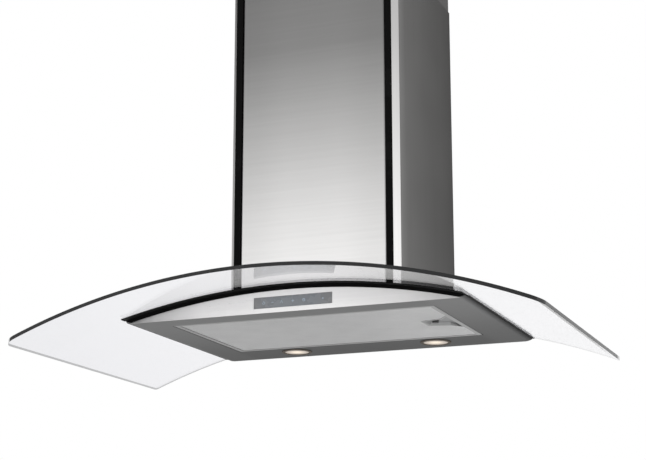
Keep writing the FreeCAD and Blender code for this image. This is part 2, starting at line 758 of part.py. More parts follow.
def below_arch(drop):
    """Everything in the motor box's plan that lies under an arc of the glass."""
    reach = BOX_HALF + BOX_FLANGE
    return arch_plate(-BOX_TOP, drop, -reach, reach, -BOX_DEPTH - BOX_FLANGE, BOX_FLANGE)


def motor_box():
    """Case of the blower: back, sides and top, open to the front and below."""
    block = box(-BOX_HALF, BOX_HALF, -BOX_DEPTH, 0.0, 0.0, BOX_TOP)
    block = block.cut(box(-BOX_HALF + SHEET, BOX_HALF - SHEET, -BOX_DEPTH + SHEET,
                          -SHEET, -1.0, BOX_TOP - SHEET))
    block = block.cut(box(-BOX_HALF + BOX_FLANGE, BOX_HALF - BOX_FLANGE, -BOX_DEPTH - 1.0,
                          -BOX_DEPTH + 2 * SHEET, -1.0, BOX_TOP - BOX_FLANGE))
    foot_drop = TOP_SHEET_DROP - SKIM
    block = block.cut(below_arch(foot_drop))
    foot = arch_band(foot_drop, foot_drop - SHEET, -BOX_HALF, BOX_HALF, -BOX_DEPTH, 0.0)
    foot = foot.cut(box(-INTAKE_HALF, INTAKE_HALF, INTAKE_FRONT, INTAKE_REAR, 0.0, BOX_TOP))
    block = block.fuse(foot)
    block = block.cut(Part.makeCylinder(OUTLET_HOLE_R, 4 * SHEET, V(0, OUTLET_Y, BOX_TOP - 2 * SHEET)))
    for x in (-WALL_HOLE_X, WALL_HOLE_X):
        for z in WALL_HOLE_Z:
            hole = Part.makeCylinder(WALL_HOLE_R, 3 * SHEET, V(x, -2 * SHEET, z), Y_AXIS)
            block = block.cut(hole)
    for ear in motor_box_ears():
        block = block.fuse(ear)
    return block.removeSplitter()


def motor_box_ears():
    """Folded ears on both sides that steady the flue cover."""
    reach = FLUE_HALF - FLUE_SHEET - CLEAR
    plate = box(BOX_HALF - SHEET / 2, reach, EAR_FRONT, EAR_REAR, EAR_Z, EAR_Z + SHEET)
    lip = box(reach - SHEET, reach, EAR_FRONT, EAR_REAR, EAR_Z, EAR_Z + BOX_FLANGE)
    ear = plate.fuse(lip)
    return [ear, mirrored(ear)]


def motor_box_front():
    """Screwed-on front cover of the motor box."""
    y1 = -BOX_DEPTH - SKIM
    plate = box(-BOX_HALF, BOX_HALF, y1 - SHEET, y1, 0.0, BOX_TOP)
    return plate.cut(below_arch(TOP_SHEET_DROP - SKIM - SHEET)).Solids[0]


def scroll_quarters():
    """Centre, radius and start angle of each quarter turn of the scroll, in Y and Z."""
    step = SCROLL_STEP
    return [((FAN_Y, FAN_Z), SCROLL_START_R, 90.0),
            ((FAN_Y - step, FAN_Z), SCROLL_START_R + step, 0.0),
            ((FAN_Y - step, FAN_Z + step), SCROLL_START_R + 2 * step, -90.0)]


def scroll_edges(x, grow):
    """Edges of the open spiral path from the tongue round to the front of the throat."""
    top = BOX_TOP - SHEET - SKIM
    start = V(x, FAN_Y, FAN_Z + SCROLL_START_R + grow)
    edges = [line_edge(V(x, THROAT_REAR_Y + grow, top), start)]
    for (cy, cz), radius, first in scroll_quarters():
        points = []
        for turn in (0.0, 45.0, 90.0):
            angle = math.radians(first - turn)
            reach = radius + grow
            points.append(V(x, cy + reach * math.cos(angle), cz + reach * math.sin(angle)))
        edges.append(arc_edge(*points))
    last = points[-1]
    edges.append(line_edge(last, V(x, last.y, top)))
    return edges


def scroll_block(x0, x1, grow):
    """Solid plan of the scroll, pushed from x0 to x1."""
    edges = scroll_edges(x0, grow)
    start = edges[0].Vertexes[0].Point
    end = edges[-1].Vertexes[-1].Point
    edges.append(line_edge(end, start))
    face = Part.Face(Part.Wire(Part.__sortEdges__(edges)))
    return face.extrude(V(x1 - x0, 0, 0))


def scroll_band():
    """Rolled strip that wraps the fan wheel and leads up to the outlet."""
    half = SCROLL_HALF - SKIM
    outer = scroll_block(-half, half, BAND_T)
    inner = scroll_block(-half - 1.0, half + 1.0, 0.0)
    band = outer.cut(inner)
    top = BOX_TOP - SHEET - SKIM
    return band.cut(box(-half - 1.0, half + 1.0, -BOX_DEPTH, 0.0, top - SKIM, top + 1.0))


def scroll_side(sign):
    """Side plate of the scroll with a rolled inlet ring and a top flange."""
    x0 = SCROLL_HALF
    plate = scroll_block(x0, x0 + SHEET, BAND_T + SCROLL_RIM)
    inlet = V(x0 - INLET_LIP, FAN_Y, FAN_Z)
    plate = plate.fuse(ring(INLET_R + SHEET, INLET_R, INLET_LIP + SHEET / 2, inlet, X_AXIS))
    plate = plate.cut(Part.makeCylinder(INLET_R, 4 * INLET_LIP, inlet, X_AXIS))
    top = BOX_TOP - SHEET - SKIM
    flange = box(x0, x0 + BOX_FLANGE, FLANGE_FRONT_Y, THROAT_REAR_Y, top - SHEET, top)
    plate = plate.fuse(flange).removeSplitter()
    return plate if sign > 0 else mirrored(plate)


def impeller():
    """Double-sided fan wheel: hub disc, two end rings and forward-curved blades."""
    centre = V(0, FAN_Y, FAN_Z)
    disc = Part.makeCylinder(WHEEL_OUTER_R, WHEEL_RING_T, centre - X_AXIS * (WHEEL_RING_T / 2), X_AXIS)
    hub_base = centre + X_AXIS * WHEEL_HUB_LEFT
    hub = Part.makeCylinder(WHEEL_HUB_R, WHEEL_HUB_RIGHT - WHEEL_HUB_LEFT, hub_base, X_AXIS)
    rings = []
    for x in (-WHEEL_HALF, WHEEL_HALF - WHEEL_RING_T):
        rings.append(ring(WHEEL_OUTER_R, WHEEL_INNER_R, WHEEL_RING_T, centre + X_AXIS * x, X_AXIS))
    blades = []
    width = WHEEL_OUTER_R - WHEEL_INNER_R
    length = (width - 2 * SKIM) / math.cos(math.radians(BLADE_LEAN)) - 2 * BLADE_END_GAP
    for number in range(BLADE_COUNT):
        blade = box(-WHEEL_HALF + SKIM, WHEEL_HALF - SKIM, -BLADE_T / 2, BLADE_T / 2, -length / 2, length / 2)
        blade.rotate(V(0, 0, 0), X_AXIS, BLADE_LEAN)
        blade.translate(V(0, 0, WHEEL_INNER_R + width / 2))
        blade.rotate(V(0, 0, 0), X_AXIS, 360.0 * number / BLADE_COUNT)
        blade.translate(centre)
        blades.append(blade)
    wheel = disc.multiFuse([hub] + rings + blades)
    bore = Part.makeCylinder(SHAFT_R, 2 * WHEEL_HALF, centre - X_AXIS * WHEEL_HALF, X_AXIS)
    return wheel.cut(bore)


def motor_shaft():
    """Steel shaft that carries the fan wheel."""
    base = V(SHAFT_LEFT, FAN_Y, FAN_Z)
    return Part.makeCylinder(SHAFT_R - SHAFT_FIT, SHAFT_RIGHT - SHAFT_LEFT, base, X_AXIS)


def motor_body():
    """Round motor can with its end bosses and a bore for the shaft."""
    base = V(MOTOR_LEFT, FAN_Y, FAN_Z)
    can = Part.makeCylinder(MOTOR_R, MOTOR_RIGHT - MOTOR_LEFT, base, X_AXIS)
    length = MOTOR_RIGHT - MOTOR_LEFT
    can = can.makeFillet(MOTOR_ROUND, [e for e in can.Edges if e.Length > MOTOR_R * 4])
    boss = Part.makeCylinder(MOTOR_BOSS_R, MOTOR_BOSS_H, base + X_AXIS * (length - SKIM), X_AXIS)
    bore_base = base + X_AXIS * MOTOR_END_WALL
    bore = Part.makeCylinder(SHAFT_R + BEARING_CLEAR, length + MOTOR_BOSS_H, bore_base, X_AXIS)
    return can.fuse(boss).cut(bore)


def motor_bracket():
    """Three-armed spider that hangs the motor in the left inlet."""
    x1 = MOTOR_LEFT - SKIM
    spider = Part.makeCylinder(SPIDER_R, ARM_T, V(x1 - ARM_T, 0, 0), X_AXIS)
    plate_x = -SCROLL_HALF - SHEET - SKIM
    for number in range(ARM_COUNT):
        arm = box(x1 - ARM_T, x1, -ARM_WIDTH / 2, ARM_WIDTH / 2, 0.0, ARM_REACH)
        foot = box(x1 - ARM_T, plate_x, -ARM_WIDTH / 2, ARM_WIDTH / 2, ARM_FOOT_R, ARM_REACH)
        limb = arm.fuse(foot)
        limb.rotate(V(0, 0, 0), X_AXIS, 360.0 * number / ARM_COUNT)
        spider = spider.fuse(limb)
    spider.translate(V(0, FAN_Y, FAN_Z))
    return spider.removeSplitter()


def run_capacitor():
    """Motor capacitor in its clip, upright in the left rear of the box."""
    base = V(CAPACITOR_X, CAPACITOR_Y, CAPACITOR_Z)
    can = Part.makeCylinder(CAPACITOR_R, CAPACITOR_HEIGHT, base)
    can = can.makeFillet(CAPACITOR_ROUND, [e for e in can.Edges if e.Length > CAPACITOR_R * 4])
    strap = box(CAPACITOR_X - CAPACITOR_R, CAPACITOR_X + CAPACITOR_R, CAPACITOR_Y, -SHEET - SKIM,
                STRAP_LOW, STRAP_HIGH)
    return can.fuse(strap).removeSplitter()


def lamp_transformer():
    """Lamp supply in its plastic case, on the right wall of the motor box."""
    case = box(TRANSFORMER_LEFT, BOX_HALF - SHEET - SKIM, TRANSFORMER_FRONT, TRANSFORMER_REAR,
               TRANSFORMER_LOW, TRANSFORMER_HIGH)
    return case.makeFillet(TRANSFORMER_ROUND, case.Edges)


def terminal_box():
    """Mains connection box on the outer right side of the motor box."""
    x0 = BOX_HALF + SKIM
    case = box(x0, x0 + TERMINAL_DEPTH, TERMINAL_FRONT, TERMINAL_REAR, TERMINAL_LOW, TERMINAL_HIGH)
    outer = [e for e in case.Edges if e.BoundBox.XMin > x0 + SHEET]
    return case.makeFillet(TERMINAL_ROUND, outer)


def gland_place():
    """Foot of the cable gland on top of the terminal box."""
    x = BOX_HALF + SKIM + TERMINAL_DEPTH / 2
    return V(x, (TERMINAL_FRONT + TERMINAL_REAR) / 2, TERMINAL_HIGH + SKIM)


def cable_gland():
    """Screwed gland where the supply cable goes in; its bore is open upwards."""
    base = gland_place()
    body = Part.makeCylinder(GLAND_R, GLAND_LENGTH, base)
    corners = []
    for number in range(6):
        turn = math.radians(60.0 * number)
        corners.append(base + V(math.cos(turn), math.sin(turn), 0) * GLAND_NUT_R)
    nut = prism(corners, Z_AXIS * GLAND_NUT_H)
    return body.fuse(nut).cut(Part.makeCylinder(GLAND_BORE_R, GLAND_LENGTH + 1.0, base)).removeSplitter()


def outlet_collar():
    """Plastic duct spigot with a square flange and a seat for the flaps."""
    base = V(0, OUTLET_Y, BOX_TOP + SKIM)
    half = COLLAR_FLANGE_HALF
    flange = box(-half, half, OUTLET_Y - half, OUTLET_Y + half, base.z, base.z + COLLAR_FLANGE_T)
    corners = [e for e in flange.Edges if abs(e.Length - COLLAR_FLANGE_T) < SKIM]
    flange = flange.makeFillet(COLLAR_CORNER_R, corners)
    tube = Part.makeCylinder(COLLAR_R, COLLAR_TOP - base.z, base)
    bore = Part.makeCylinder(COLLAR_R - COLLAR_WALL, COLLAR_TOP, base - Z_AXIS * 1.0)
    seat_top = FLAP_PIN_Z - FLAP_DROP - CLEAR
    seat = ring(COLLAR_R - COLLAR_WALL / 2, COLLAR_R - COLLAR_WALL - SEAT_WIDTH, SEAT_HEIGHT,
                V(0, OUTLET_Y, seat_top - SEAT_HEIGHT))
    collar = flange.fuse(tube).cut(bore).fuse(seat)
    pin_base = V(-2 * COLLAR_R, OUTLET_Y, FLAP_PIN_Z)
    pin_hole = Part.makeCylinder(FLAP_PIN_R + SKIM, 4 * COLLAR_R, pin_base, X_AXIS)
    return collar.cut(pin_hole).removeSplitter()


def damper_pin():
    """Cross pin that both backdraught flaps turn on."""
    reach = COLLAR_R - SKIM
    return Part.makeCylinder(FLAP_PIN_R, 2 * reach, V(-reach, OUTLET_Y, FLAP_PIN_Z), X_AXIS)


def damper_flap(sign, knuckles):
    """Half-round flap with its hinge knuckles; sign -1 is the front one."""
    low = FLAP_PIN_Z - FLAP_DROP
    disc = Part.makeCylinder(FLAP_R, FLAP_T, V(0, 0, low))
    keep = box(-COLLAR_R, COLLAR_R, FLAP_INNER, COLLAR_R, low - 1.0, low + FLAP_T + 1.0)
    flap = disc.common(keep)
    for x0, x1 in knuckles:
        barrel = Part.makeCylinder(KNUCKLE_R, x1 - x0, V(x0, 0, FLAP_PIN_Z), X_AXIS)
        web = box(x0, x1, 0.0, FLAP_INNER + SKIM, low, low + FLAP_T)
        bore = Part.makeCylinder(KNUCKLE_BORE_R, x1 - x0 + 2.0, V(x0 - 1.0, 0, FLAP_PIN_Z), X_AXIS)
        flap = flap.fuse(barrel.fuse(web).cut(bore))
    flap = flap.removeSplitter()
    if sign < 0:
        flap = flap.mirror(V(0, 0, 0), Y_AXIS)
    flap.translate(V(0, OUTLET_Y, 0))
    return flap


def flue_block(points, z0, z1):
    """Upright solid whose plan is given for X > 0 and mirrored to the left."""
    left = [(-x, y) for x, y in reversed(points)]
    return prism([V(x, y, z0) for x, y in points + left], V(0, 0, z1 - z0))


def above_glass(shape):
    """The part of a shape that stands clear of the top of the glass."""
    gap = GLASS_THICK + CLEAR
    reach = FLUE_HALF + FLUE_RETURN
    return shape.cut(arch_plate(-BOX_TOP, -gap, -reach, reach, FLUE_NOSE_Y - FLUE_RETURN, FLUE_RETURN))


def flue_lower_shell():
    """Lower sleeve: sides, slanted front corners and the wall behind the front panel."""
    outer = flue_block([(FLUE_HALF, 0.0), (FLUE_HALF, -FLUE_SIDE_DEPTH), (FLUE_NOSE_X, FLUE_NOSE_Y),
                          (FLUE_NOSE_X, FLUE_WALL_Y)], 0.0, FLUE_TOP)
    side = FLUE_HALF - FLUE_SHEET
    inner_y = FLUE_WALL_Y + FLUE_SHEET
    inner = flue_block([(side, -FLUE_SHEET), (side, -FLUE_SIDE_DEPTH + FLUE_SHEET / 2),
                          (FLUE_NOSE_X + 2 * FLUE_SHEET, inner_y)], -1.0, FLUE_TOP + 1.0)
    shell = outer.cut(inner)
    gap = side - FLUE_RETURN
    shell = shell.cut(box(-gap, gap, -2 * FLUE_SHEET, 1.0, -1.0, FLUE_TOP + 1.0))
    for sign in (-1, 1):
        face = sign * FLUE_HALF
        x0, x1 = sorted((face - sign * SEAM_DEPTH, face + sign * SEAM_DEPTH))
        y0 = -FLUE_SIDE_DEPTH + SEAM_WIDTH / 2
        shell = shell.cut(box(x0, x1, y0, y0 + SEAM_WIDTH, -1.0, FLUE_TOP + 1.0))
    return above_glass(shell).removeSplitter()


def panel_section(z):
    """Plan of the front panel: flat face with both edges rolled back."""
    turn = math.radians(PANEL_ROLL_ANGLE)
    flat = PANEL_HALF - PANEL_ROLL_R * math.sin(turn)
    centre_y = PANEL_FRONT_Y + PANEL_ROLL_R
    edges = []
    ends = []
    for radius in (PANEL_ROLL_R, PANEL_ROLL_R - FLUE_SHEET):
        front = centre_y - radius
        edges.append(line_edge(V(-flat, front, z), V(flat, front, z)))
        for sign in (-1, 1):
            points = []
            for part in (0.0, 0.5, 1.0):
                angle = turn * part
                x = sign * (flat + radius * math.sin(angle))
                points.append(V(x, centre_y - radius * math.cos(angle), z))
            edges.append(arc_edge(*points))
            ends.append(points[-1])
    edges.append(line_edge(ends[0], ends[2]))
    edges.append(line_edge(ends[1], ends[3]))
    return Part.Face(Part.Wire(Part.__sortEdges__(edges)))


def flue_front_panel():
    """Bright front panel between the two black strips."""
    return above_glass(panel_section(0.0).extrude(V(0, 0, FLUE_TOP)))


def flue_trim(sign):
    """Black corner strip of the flue cover."""
    strip = box(TRIM_INNER, TRIM_OUTER, TRIM_FRONT_Y, FLUE_WALL_Y - SKIM, 0.0, FLUE_TOP)
    front = [e for e in strip.Edges if e.Length > FLUE_TOP - 1.0 and e.BoundBox.YMax < TRIM_FRONT_Y + SKIM]
    strip = above_glass(strip.makeFillet(TRIM_ROUND, front))
    return strip if sign > 0 else mirrored(strip)


def flue_upper_shell():
    """Upper sleeve with rear returns and rows of vent slots near its top."""
    rear = UPPER_REAR_Y
    outer = flue_block([(UPPER_HALF, rear), (UPPER_HALF, -UPPER_SIDE_DEPTH),
                          (UPPER_NOSE_X, UPPER_FRONT_Y)], UPPER_LOW, UPPER_TOP)
    side = UPPER_HALF - UPPER_SHEET
    inner = flue_block([(side, rear - UPPER_SHEET), (side, -UPPER_SIDE_DEPTH + UPPER_SHEET / 2),
                          (UPPER_NOSE_X - UPPER_SHEET / 2, UPPER_FRONT_Y + UPPER_SHEET)],
                         UPPER_LOW - 1.0, UPPER_TOP + 1.0)
    shell = outer.cut(inner)
    gap = side - FLUE_RETURN
    shell = shell.cut(box(-gap, gap, rear - 2 * UPPER_SHEET, 1.0, UPPER_LOW - 1.0, UPPER_TOP + 1.0))
    for number in range(VENT_COUNT):
        z1 = VENT_TOP_Z - number * VENT_PITCH
        shell = shell.cut(box(-FLUE_HALF, FLUE_HALF, VENT_FRONT, VENT_REAR, z1 - VENT_HEIGHT, z1))
    return shell.removeSplitter()


def flue_wall_bracket():
    """Wall strip, stepped at both ends round the sleeve's returns, with side tabs."""
    z0 = BRACKET_Z
    z1 = BRACKET_Z + BRACKET_HEIGHT
    reach = UPPER_HALF - UPPER_SHEET - SKIM
    plate = box(-BRACKET_HALF, BRACKET_HALF, -SHEET, 0.0, z0, z1)
    for x in (-BRACKET_HOLE_X, BRACKET_HOLE_X):
        hole = Part.makeCylinder(BRACKET_HOLE_R, 4 * SHEET, V(x, -2 * SHEET, (z0 + z1) / 2), Y_AXIS)
        plate = plate.cut(hole)
    step = box(BRACKET_HALF - SHEET, BRACKET_HALF, BRACKET_JOGGLE_Y, 0.0, z0, z1)
    wing = box(BRACKET_HALF - SHEET, reach, BRACKET_JOGGLE_Y, BRACKET_JOGGLE_Y + SHEET, z0, z1)
    tab = box(reach - SHEET, reach, BRACKET_TAB_Y, BRACKET_JOGGLE_Y + SHEET, z0, z1)
    end = step.fuse(wing).fuse(tab)
    hole_base = V(reach - 2 * SHEET, BRACKET_TAB_Y / 2, (z0 + z1) / 2)
    hole = Part.makeCylinder(SCREW_R + SKIM, 4 * SHEET, hole_base, X_AXIS)
    end = end.cut(hole)
    return plate.fuse(end).fuse(mirrored(end)).removeSplitter()


def screw(head, direction):
    """Pan-head screw: head seated at a point, shank along a direction."""
    cap = Part.makeCylinder(SCREW_HEAD_R, SCREW_HEAD_H, head - direction * SCREW_HEAD_H, direction)
    top = [e for e in cap.Edges if e.Length > SCREW_HEAD_R * 3]
    top = [e for e in top if (e.CenterOfMass - (head - direction * SCREW_HEAD_H)).Length < SKIM]
    cap = cap.makeFillet(SCREW_ROUND, top)
    shank = Part.makeCylinder(SCREW_R, SCREW_LENGTH + SKIM, head - direction * SKIM, direction)
    return cap.fuse(shank).removeSplitter()


def glass_fixing_caps():
    """Steel caps on the glass with the studs that reach the sheet below."""
    caps = []
    for x, y in fixing_places():
        normal = glass_normal(x)
        seat = glass_point(x, y, -GLASS_THICK - WASHER_T - SKIM)
        cap = Part.makeCylinder(CAP_R, CAP_HEIGHT, seat, normal)
        rim = [e for e in cap.Edges if (e.CenterOfMass - (seat + normal * CAP_HEIGHT)).Length < SKIM]
        cap = cap.makeFillet(CAP_ROUND, rim)
        foot = glass_point(x, y, 2 * TOP_SHEET_DROP)
        length = 2 * TOP_SHEET_DROP + GLASS_THICK + 2 * WASHER_T
        stud = Part.makeCylinder(STUD_R, length, foot, normal)
        caps.append(cap.fuse(stud).removeSplitter())
    return Part.makeCompound(caps)


def glass_washers():
    """Rubber washers under the caps and between the glass and the sheet below."""
    washers = []
    for x, y in fixing_places():
        normal = glass_normal(x)
        upper = glass_point(x, y, -GLASS_THICK - SKIM / 2)
        washers.append(ring(WASHER_R, STUD_R + SKIM, WASHER_T, upper, normal))
        lower = glass_point(x, y, TOP_SHEET_DROP - SKIM)
        washers.append(ring(WASHER_R, STUD_R + SKIM, TOP_SHEET_DROP - 2 * SKIM, lower, normal))
    return Part.makeCompound(washers)


def stud_places():
    """Where the fascia studs pass the upstand of the tray, and the way they point."""
    y = -BODY_DEPTH + SHEET + SKIM
    z = (UPSTAND_HEIGHT + SHEET) / 2
    return [(V(x, y, z), Y_AXIS) for x in STUD_X]


def fascia_studs():
    """Weld studs with nuts that hold the fascia to the upstand of the tray."""
    studs = []
    for place, direction in stud_places():
        nut = ring(STUD_NUT_R, SCREW_R - SKIM, STUD_NUT_H, place + direction * SHEET, direction)
        stud = Part.makeCylinder(SCREW_R, 2 * STUD_NUT_H, place, direction)
        studs.append(nut.fuse(stud).removeSplitter())
    return Part.makeCompound(studs)


def box_screw_places():
    """Seats of the screws round the front cover of the motor box."""
    y = -BOX_DEPTH - SHEET - SKIM
    edge = BOX_HALF - BOX_FLANGE / 2
    places = [V(x, y, z) for x in (-edge, edge) for z in BOX_SCREW_Z]
    places += [V(x, y, BOX_TOP - BOX_FLANGE / 2) for x in (-BOX_HALF / 3, BOX_HALF / 3)]
    return [(place, Y_AXIS) for place in places]


def collar_screw_places():
    """Seats of the screws at the corners of the duct collar."""
    reach = COLLAR_FLANGE_HALF - COLLAR_SCREW_INSET
    z = BOX_TOP + SKIM + COLLAR_FLANGE_T
    corners = [(sx * reach, OUTLET_Y + sy * reach) for sx in (-1, 1) for sy in (-1, 1)]
    return [(V(x, y, z), -Z_AXIS) for x, y in corners]


def bracket_screw_places():
    """Seats of the screws through the sides of the upper sleeve into the bracket."""
    z = BRACKET_Z + BRACKET_HEIGHT / 2
    return [(V(sign * UPPER_HALF, BRACKET_TAB_Y / 2, z), X_AXIS * -sign) for sign in (-1, 1)]


def screws_at(places):
    """One pan-head screw at each place."""
    return Part.makeCompound([screw(place, direction) for place, direction in places])


def drilled(shape, places):
    """A sheet with a clearance hole for each fastener."""
    for place, direction in places:
        base = place - direction * SCREW_LENGTH
        hole = Part.makeCylinder(SCREW_R + SKIM, SCREW_LENGTH * 2, base, direction)
        shape = shape.cut(hole)
    return shape


def all_parts():
    """Every sub-part by name."""
    box_screws = box_screw_places()
    spigot_screws = collar_screw_places()
    side_screws = bracket_screw_places()
    parts = {
        "glass_canopy": glass_canopy(),
        "glass_front_gasket": glass_front_gasket(),
        "glass_side_gasket_left": glass_side_gasket(-1),
        "glass_side_gasket_right": glass_side_gasket(1),
        "glass_fixing_caps": glass_fixing_caps(),
        "glass_washers": glass_washers(),
        "canopy_tray": drilled(canopy_tray(), stud_places()),
        "canopy_top_sheet": canopy_top_sheet(),
        "canopy_back_panel": canopy_back_panel(),
        "front_fascia": front_fascia(),
        "fascia_studs": fascia_studs(),
        "display_window": display_window(),
        "control_board": control_board(),
        "control_board_housing": control_board_housing(),
        "filter_frame": filter_frame(),
        "filter_front_mesh": filter_front_mesh(),
        "filter_mesh_core": filter_mesh_core(),
        "filter_back_mesh": filter_back_mesh(),
        "filter_handle_recess": filter_handle_recess(),
        "filter_latch_slider": filter_latch_slider(),
        "filter_latch_spring": filter_latch_spring(),
        "filter_catch_plate": filter_catch_plate(),
        "lamp_transformer": lamp_transformer(),
        "motor_box": drilled(drilled(motor_box(), box_screws), spigot_screws),
        "motor_box_front": drilled(motor_box_front(), box_screws),
        "motor_box_screws": screws_at(box_screws),
        "scroll_band": scroll_band(),
        "scroll_side_left": scroll_side(-1),
        "scroll_side_right": scroll_side(1),
        "impeller": impeller(),
        "motor_shaft": motor_shaft(),
        "motor_body": motor_body(),
        "motor_bracket": motor_bracket(),
        "run_capacitor": run_capacitor(),
        "terminal_box": terminal_box(),
        "cable_gland": cable_gland(),
        "outlet_collar": drilled(outlet_collar(), spigot_screws),
        "collar_screws": screws_at(spigot_screws),
        "damper_pin": damper_pin(),
        "damper_flap_front": damper_flap(-1, FRONT_KNUCKLES),
        "damper_flap_rear": damper_flap(1, REAR_KNUCKLES),
        "flue_lower_shell": flue_lower_shell(),
        "flue_front_panel": flue_front_panel(),
        "flue_trim_left": flue_trim(-1),
        "flue_trim_right": flue_trim(1),
        "flue_upper_shell": drilled(flue_upper_shell(), side_screws),
        "flue_wall_bracket": flue_wall_bracket(),
        "bracket_screws": screws_at(side_screws),
    }
    for name, x in (("left", -LAMP_X), ("right", LAMP_X)):
        parts["lamp_bezel_" + name] = lamp_bezel(x)
        parts["lamp_lens_" + name] = lamp_lens(x)
        parts["lamp_reflector_" + name] = lamp_reflector(x)
        parts["lamp_bulb_" + name] = lamp_bulb(x)
        parts["lamp_socket_" + name] = lamp_socket(x)
    return parts


os.makedirs("parts", exist_ok=True)
for part_name, part_shape in all_parts().items():
    part_shape.exportStep("parts/" + part_name + ".step")
    print(part_name, "solids", len(part_shape.Solids), "valid", part_shape.isValid(),
          "volume", round(part_shape.Volume / 1000.0, 2), "cm3")
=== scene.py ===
"""Looks of the curved glass range hood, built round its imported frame.

Metres.  +X to the right seen from the room, +Y into the wall, +Z up.
The origin lies on the wall plane, on the centre line, level with the flat underside.
"""
import math

import bmesh
import bpy
from mathutils import Matrix, Vector


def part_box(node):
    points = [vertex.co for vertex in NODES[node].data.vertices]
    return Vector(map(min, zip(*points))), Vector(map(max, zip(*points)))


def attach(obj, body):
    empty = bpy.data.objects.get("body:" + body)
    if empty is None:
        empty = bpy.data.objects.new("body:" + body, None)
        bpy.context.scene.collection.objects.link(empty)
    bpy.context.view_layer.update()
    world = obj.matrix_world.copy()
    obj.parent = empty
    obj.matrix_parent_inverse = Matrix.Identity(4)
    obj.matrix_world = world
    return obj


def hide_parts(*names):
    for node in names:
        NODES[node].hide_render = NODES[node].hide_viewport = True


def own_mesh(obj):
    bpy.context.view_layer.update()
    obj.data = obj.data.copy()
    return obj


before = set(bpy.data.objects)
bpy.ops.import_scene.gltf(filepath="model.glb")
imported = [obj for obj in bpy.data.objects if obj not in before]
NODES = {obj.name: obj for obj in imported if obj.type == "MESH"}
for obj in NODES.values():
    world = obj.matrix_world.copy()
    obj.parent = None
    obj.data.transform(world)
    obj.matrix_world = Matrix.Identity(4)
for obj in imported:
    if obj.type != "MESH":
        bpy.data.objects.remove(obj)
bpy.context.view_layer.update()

MM = 0.001

# Camera, below the hood and to its right.
CAMERA_PLACE = Vector((1.0020, -2.7542, -0.5124))
CAMERA_YAW = 21.871
CAMERA_PITCH = 14.231
CAMERA_LENS = 90.07
SENSOR_WIDTH = 36.0

# Glass sheet.
GLASS_RADIUS = 1190.0 * MM
GLASS_BOW = 9.0 * MM
GLASS_THICK = 6.0 * MM
GLASS_FRONT_CORNER = 20.0 * MM
GLASS_REAR_CORNER = 6.0 * MM
GLASS_CROWN_Z = 43.0 * MM
NOTCH_HALF = 134.0 * MM
NOTCH_DEPTH = 268.0 * MM
NOTCH_CORNER = 12.0 * MM
GLASS_ARRIS = 0.6 * MM
GLASS_STRIP = 7.5 * MM
BOW_STEPS = 40
FRONT_CORNER_STEPS = 12
REAR_CORNER_STEPS = 6
NOTCH_CORNER_STEPS = 8
FIXING_X = 205.0 * MM
FIXING_Y = (-90.0 * MM, -330.0 * MM)
FIXING_HOLE_R = 5.0 * MM
FIXING_HOLE_SIDES = 32

# A face of the glass is on its edge where its normal is less upright than the first of these,
# and on its front edge where the normal also looks further forwards than the second.
EDGE_UPRIGHT = 0.8
FRONT_FACING = -0.3

# Outer lips of the side gaskets.
LIP_ROOT = 0.5 * MM
LIP_REACH = 4.0 * MM
LIP_THICK = 1.8 * MM
LIP_GAP = 0.15 * MM

# Expanded aluminium sheet of the grease filter.
DIAMOND_LONG = 7.6 * MM
DIAMOND_SHORT = 3.8 * MM
STRAND_WIDTH = 0.85 * MM
STRAND_THICK = 0.5 * MM
RECESS_FLANGE = 3.6 * MM
RECESS_LEFT = 172.0 * MM
RECESS_NECK = 206.5 * MM
RECESS_RIGHT = 221.0 * MM
RECESS_HALF_LEFT = 17.5 * MM
RECESS_HALF_NECK = 26.0 * MM
RECESS_HALF_RIGHT = 47.0 * MM
LATCH_Y = -221.0 * MM
KNOB_X = 187.5 * MM
FLANGE_RIGHT = 1.3 * MM
FLANGE_LOW = 0.25 * MM
FLANGE_HIGH = 0.68 * MM
FLANGE_EASE = 0.12 * MM

# Touch marks.
MARK_SIZE = 4.2 * MM
MARK_STROKE = 0.55 * MM
MARK_FLATNESS = 0.35

# Screws. The tip is a share of the core, the rim and the cross's height of the head's height, and
# the cross's length and width of the head's width. The dome has angles in radians.
SCREW_HEAD_R = 3.5 * MM
SCREW_HEAD_H = 1.8 * MM
SCREW_R = 1.8 * MM
SCREW_LENGTH = 6.0 * MM
SCREW_TIP = 0.55
SCREW_RIM = 0.35
SCREW_DOME = (0.4, 0.8, 1.2)
SCREW_CROSS_LONG = 0.5
SCREW_CROSS_WIDE = 0.13
SCREW_CROSS_TALL = 1.1
SCREW_SIDES = 24

# Points closer than this are one: in a node's triangles, and in a shape made here.
NODE_MERGE = 0.002 * MM
SHAPE_MERGE = 0.01 * MM

# Angles in degrees from which an edge is rounded over, and from which it is shaded sharp.
EASED_FROM = 40.0
SHARP_FROM = 20.0

# Stretches over which a finish changes, from one end to the other. Those of the tray, fascia, flue, panel,
# sleeve, glass edge, filter and recess carry painted light and shade; the window's middle, the knob's rim and
# the floor's fade do not.
TRAY_TO_WALL = (-410.0 * MM, 0.0)
TRAY_TO_RIGHT = (-280.0 * MM, 300.0 * MM)
TRAY_FLANK = (220.0 * MM, 245.0 * MM)
TRAY_BEND = (282.0 * MM, 297.5 * MM)
FASCIA_WIDTH = (-290.0 * MM, 290.0 * MM)
FASCIA_FOOT = (30.0 * MM, 2.0 * MM)
FLUE_HEIGHT = (0.0, 800.0 * MM)
FLUE_DEPTH = (-300.0 * MM, 0.0)
PANEL_ROLL = (128.5 * MM, 133.0 * MM)
PANEL_EDGE = (40.0 * MM, 125.0 * MM)
PANEL_TOP = (637.5 * MM, 639.0 * MM)
SLEEVE_FRONT = (-290.0 * MM, -300.0 * MM)
GLASS_TO_RIGHT = (-440.0 * MM, 440.0 * MM)
GLASS_REAR_EDGE = (-30.0 * MM, -10.0 * MM)
WINDOW_MIDDLE = (75.0 * MM, 30.0 * MM)
FILTER_TO_RIGHT = (20.0 * MM, 200.0 * MM)
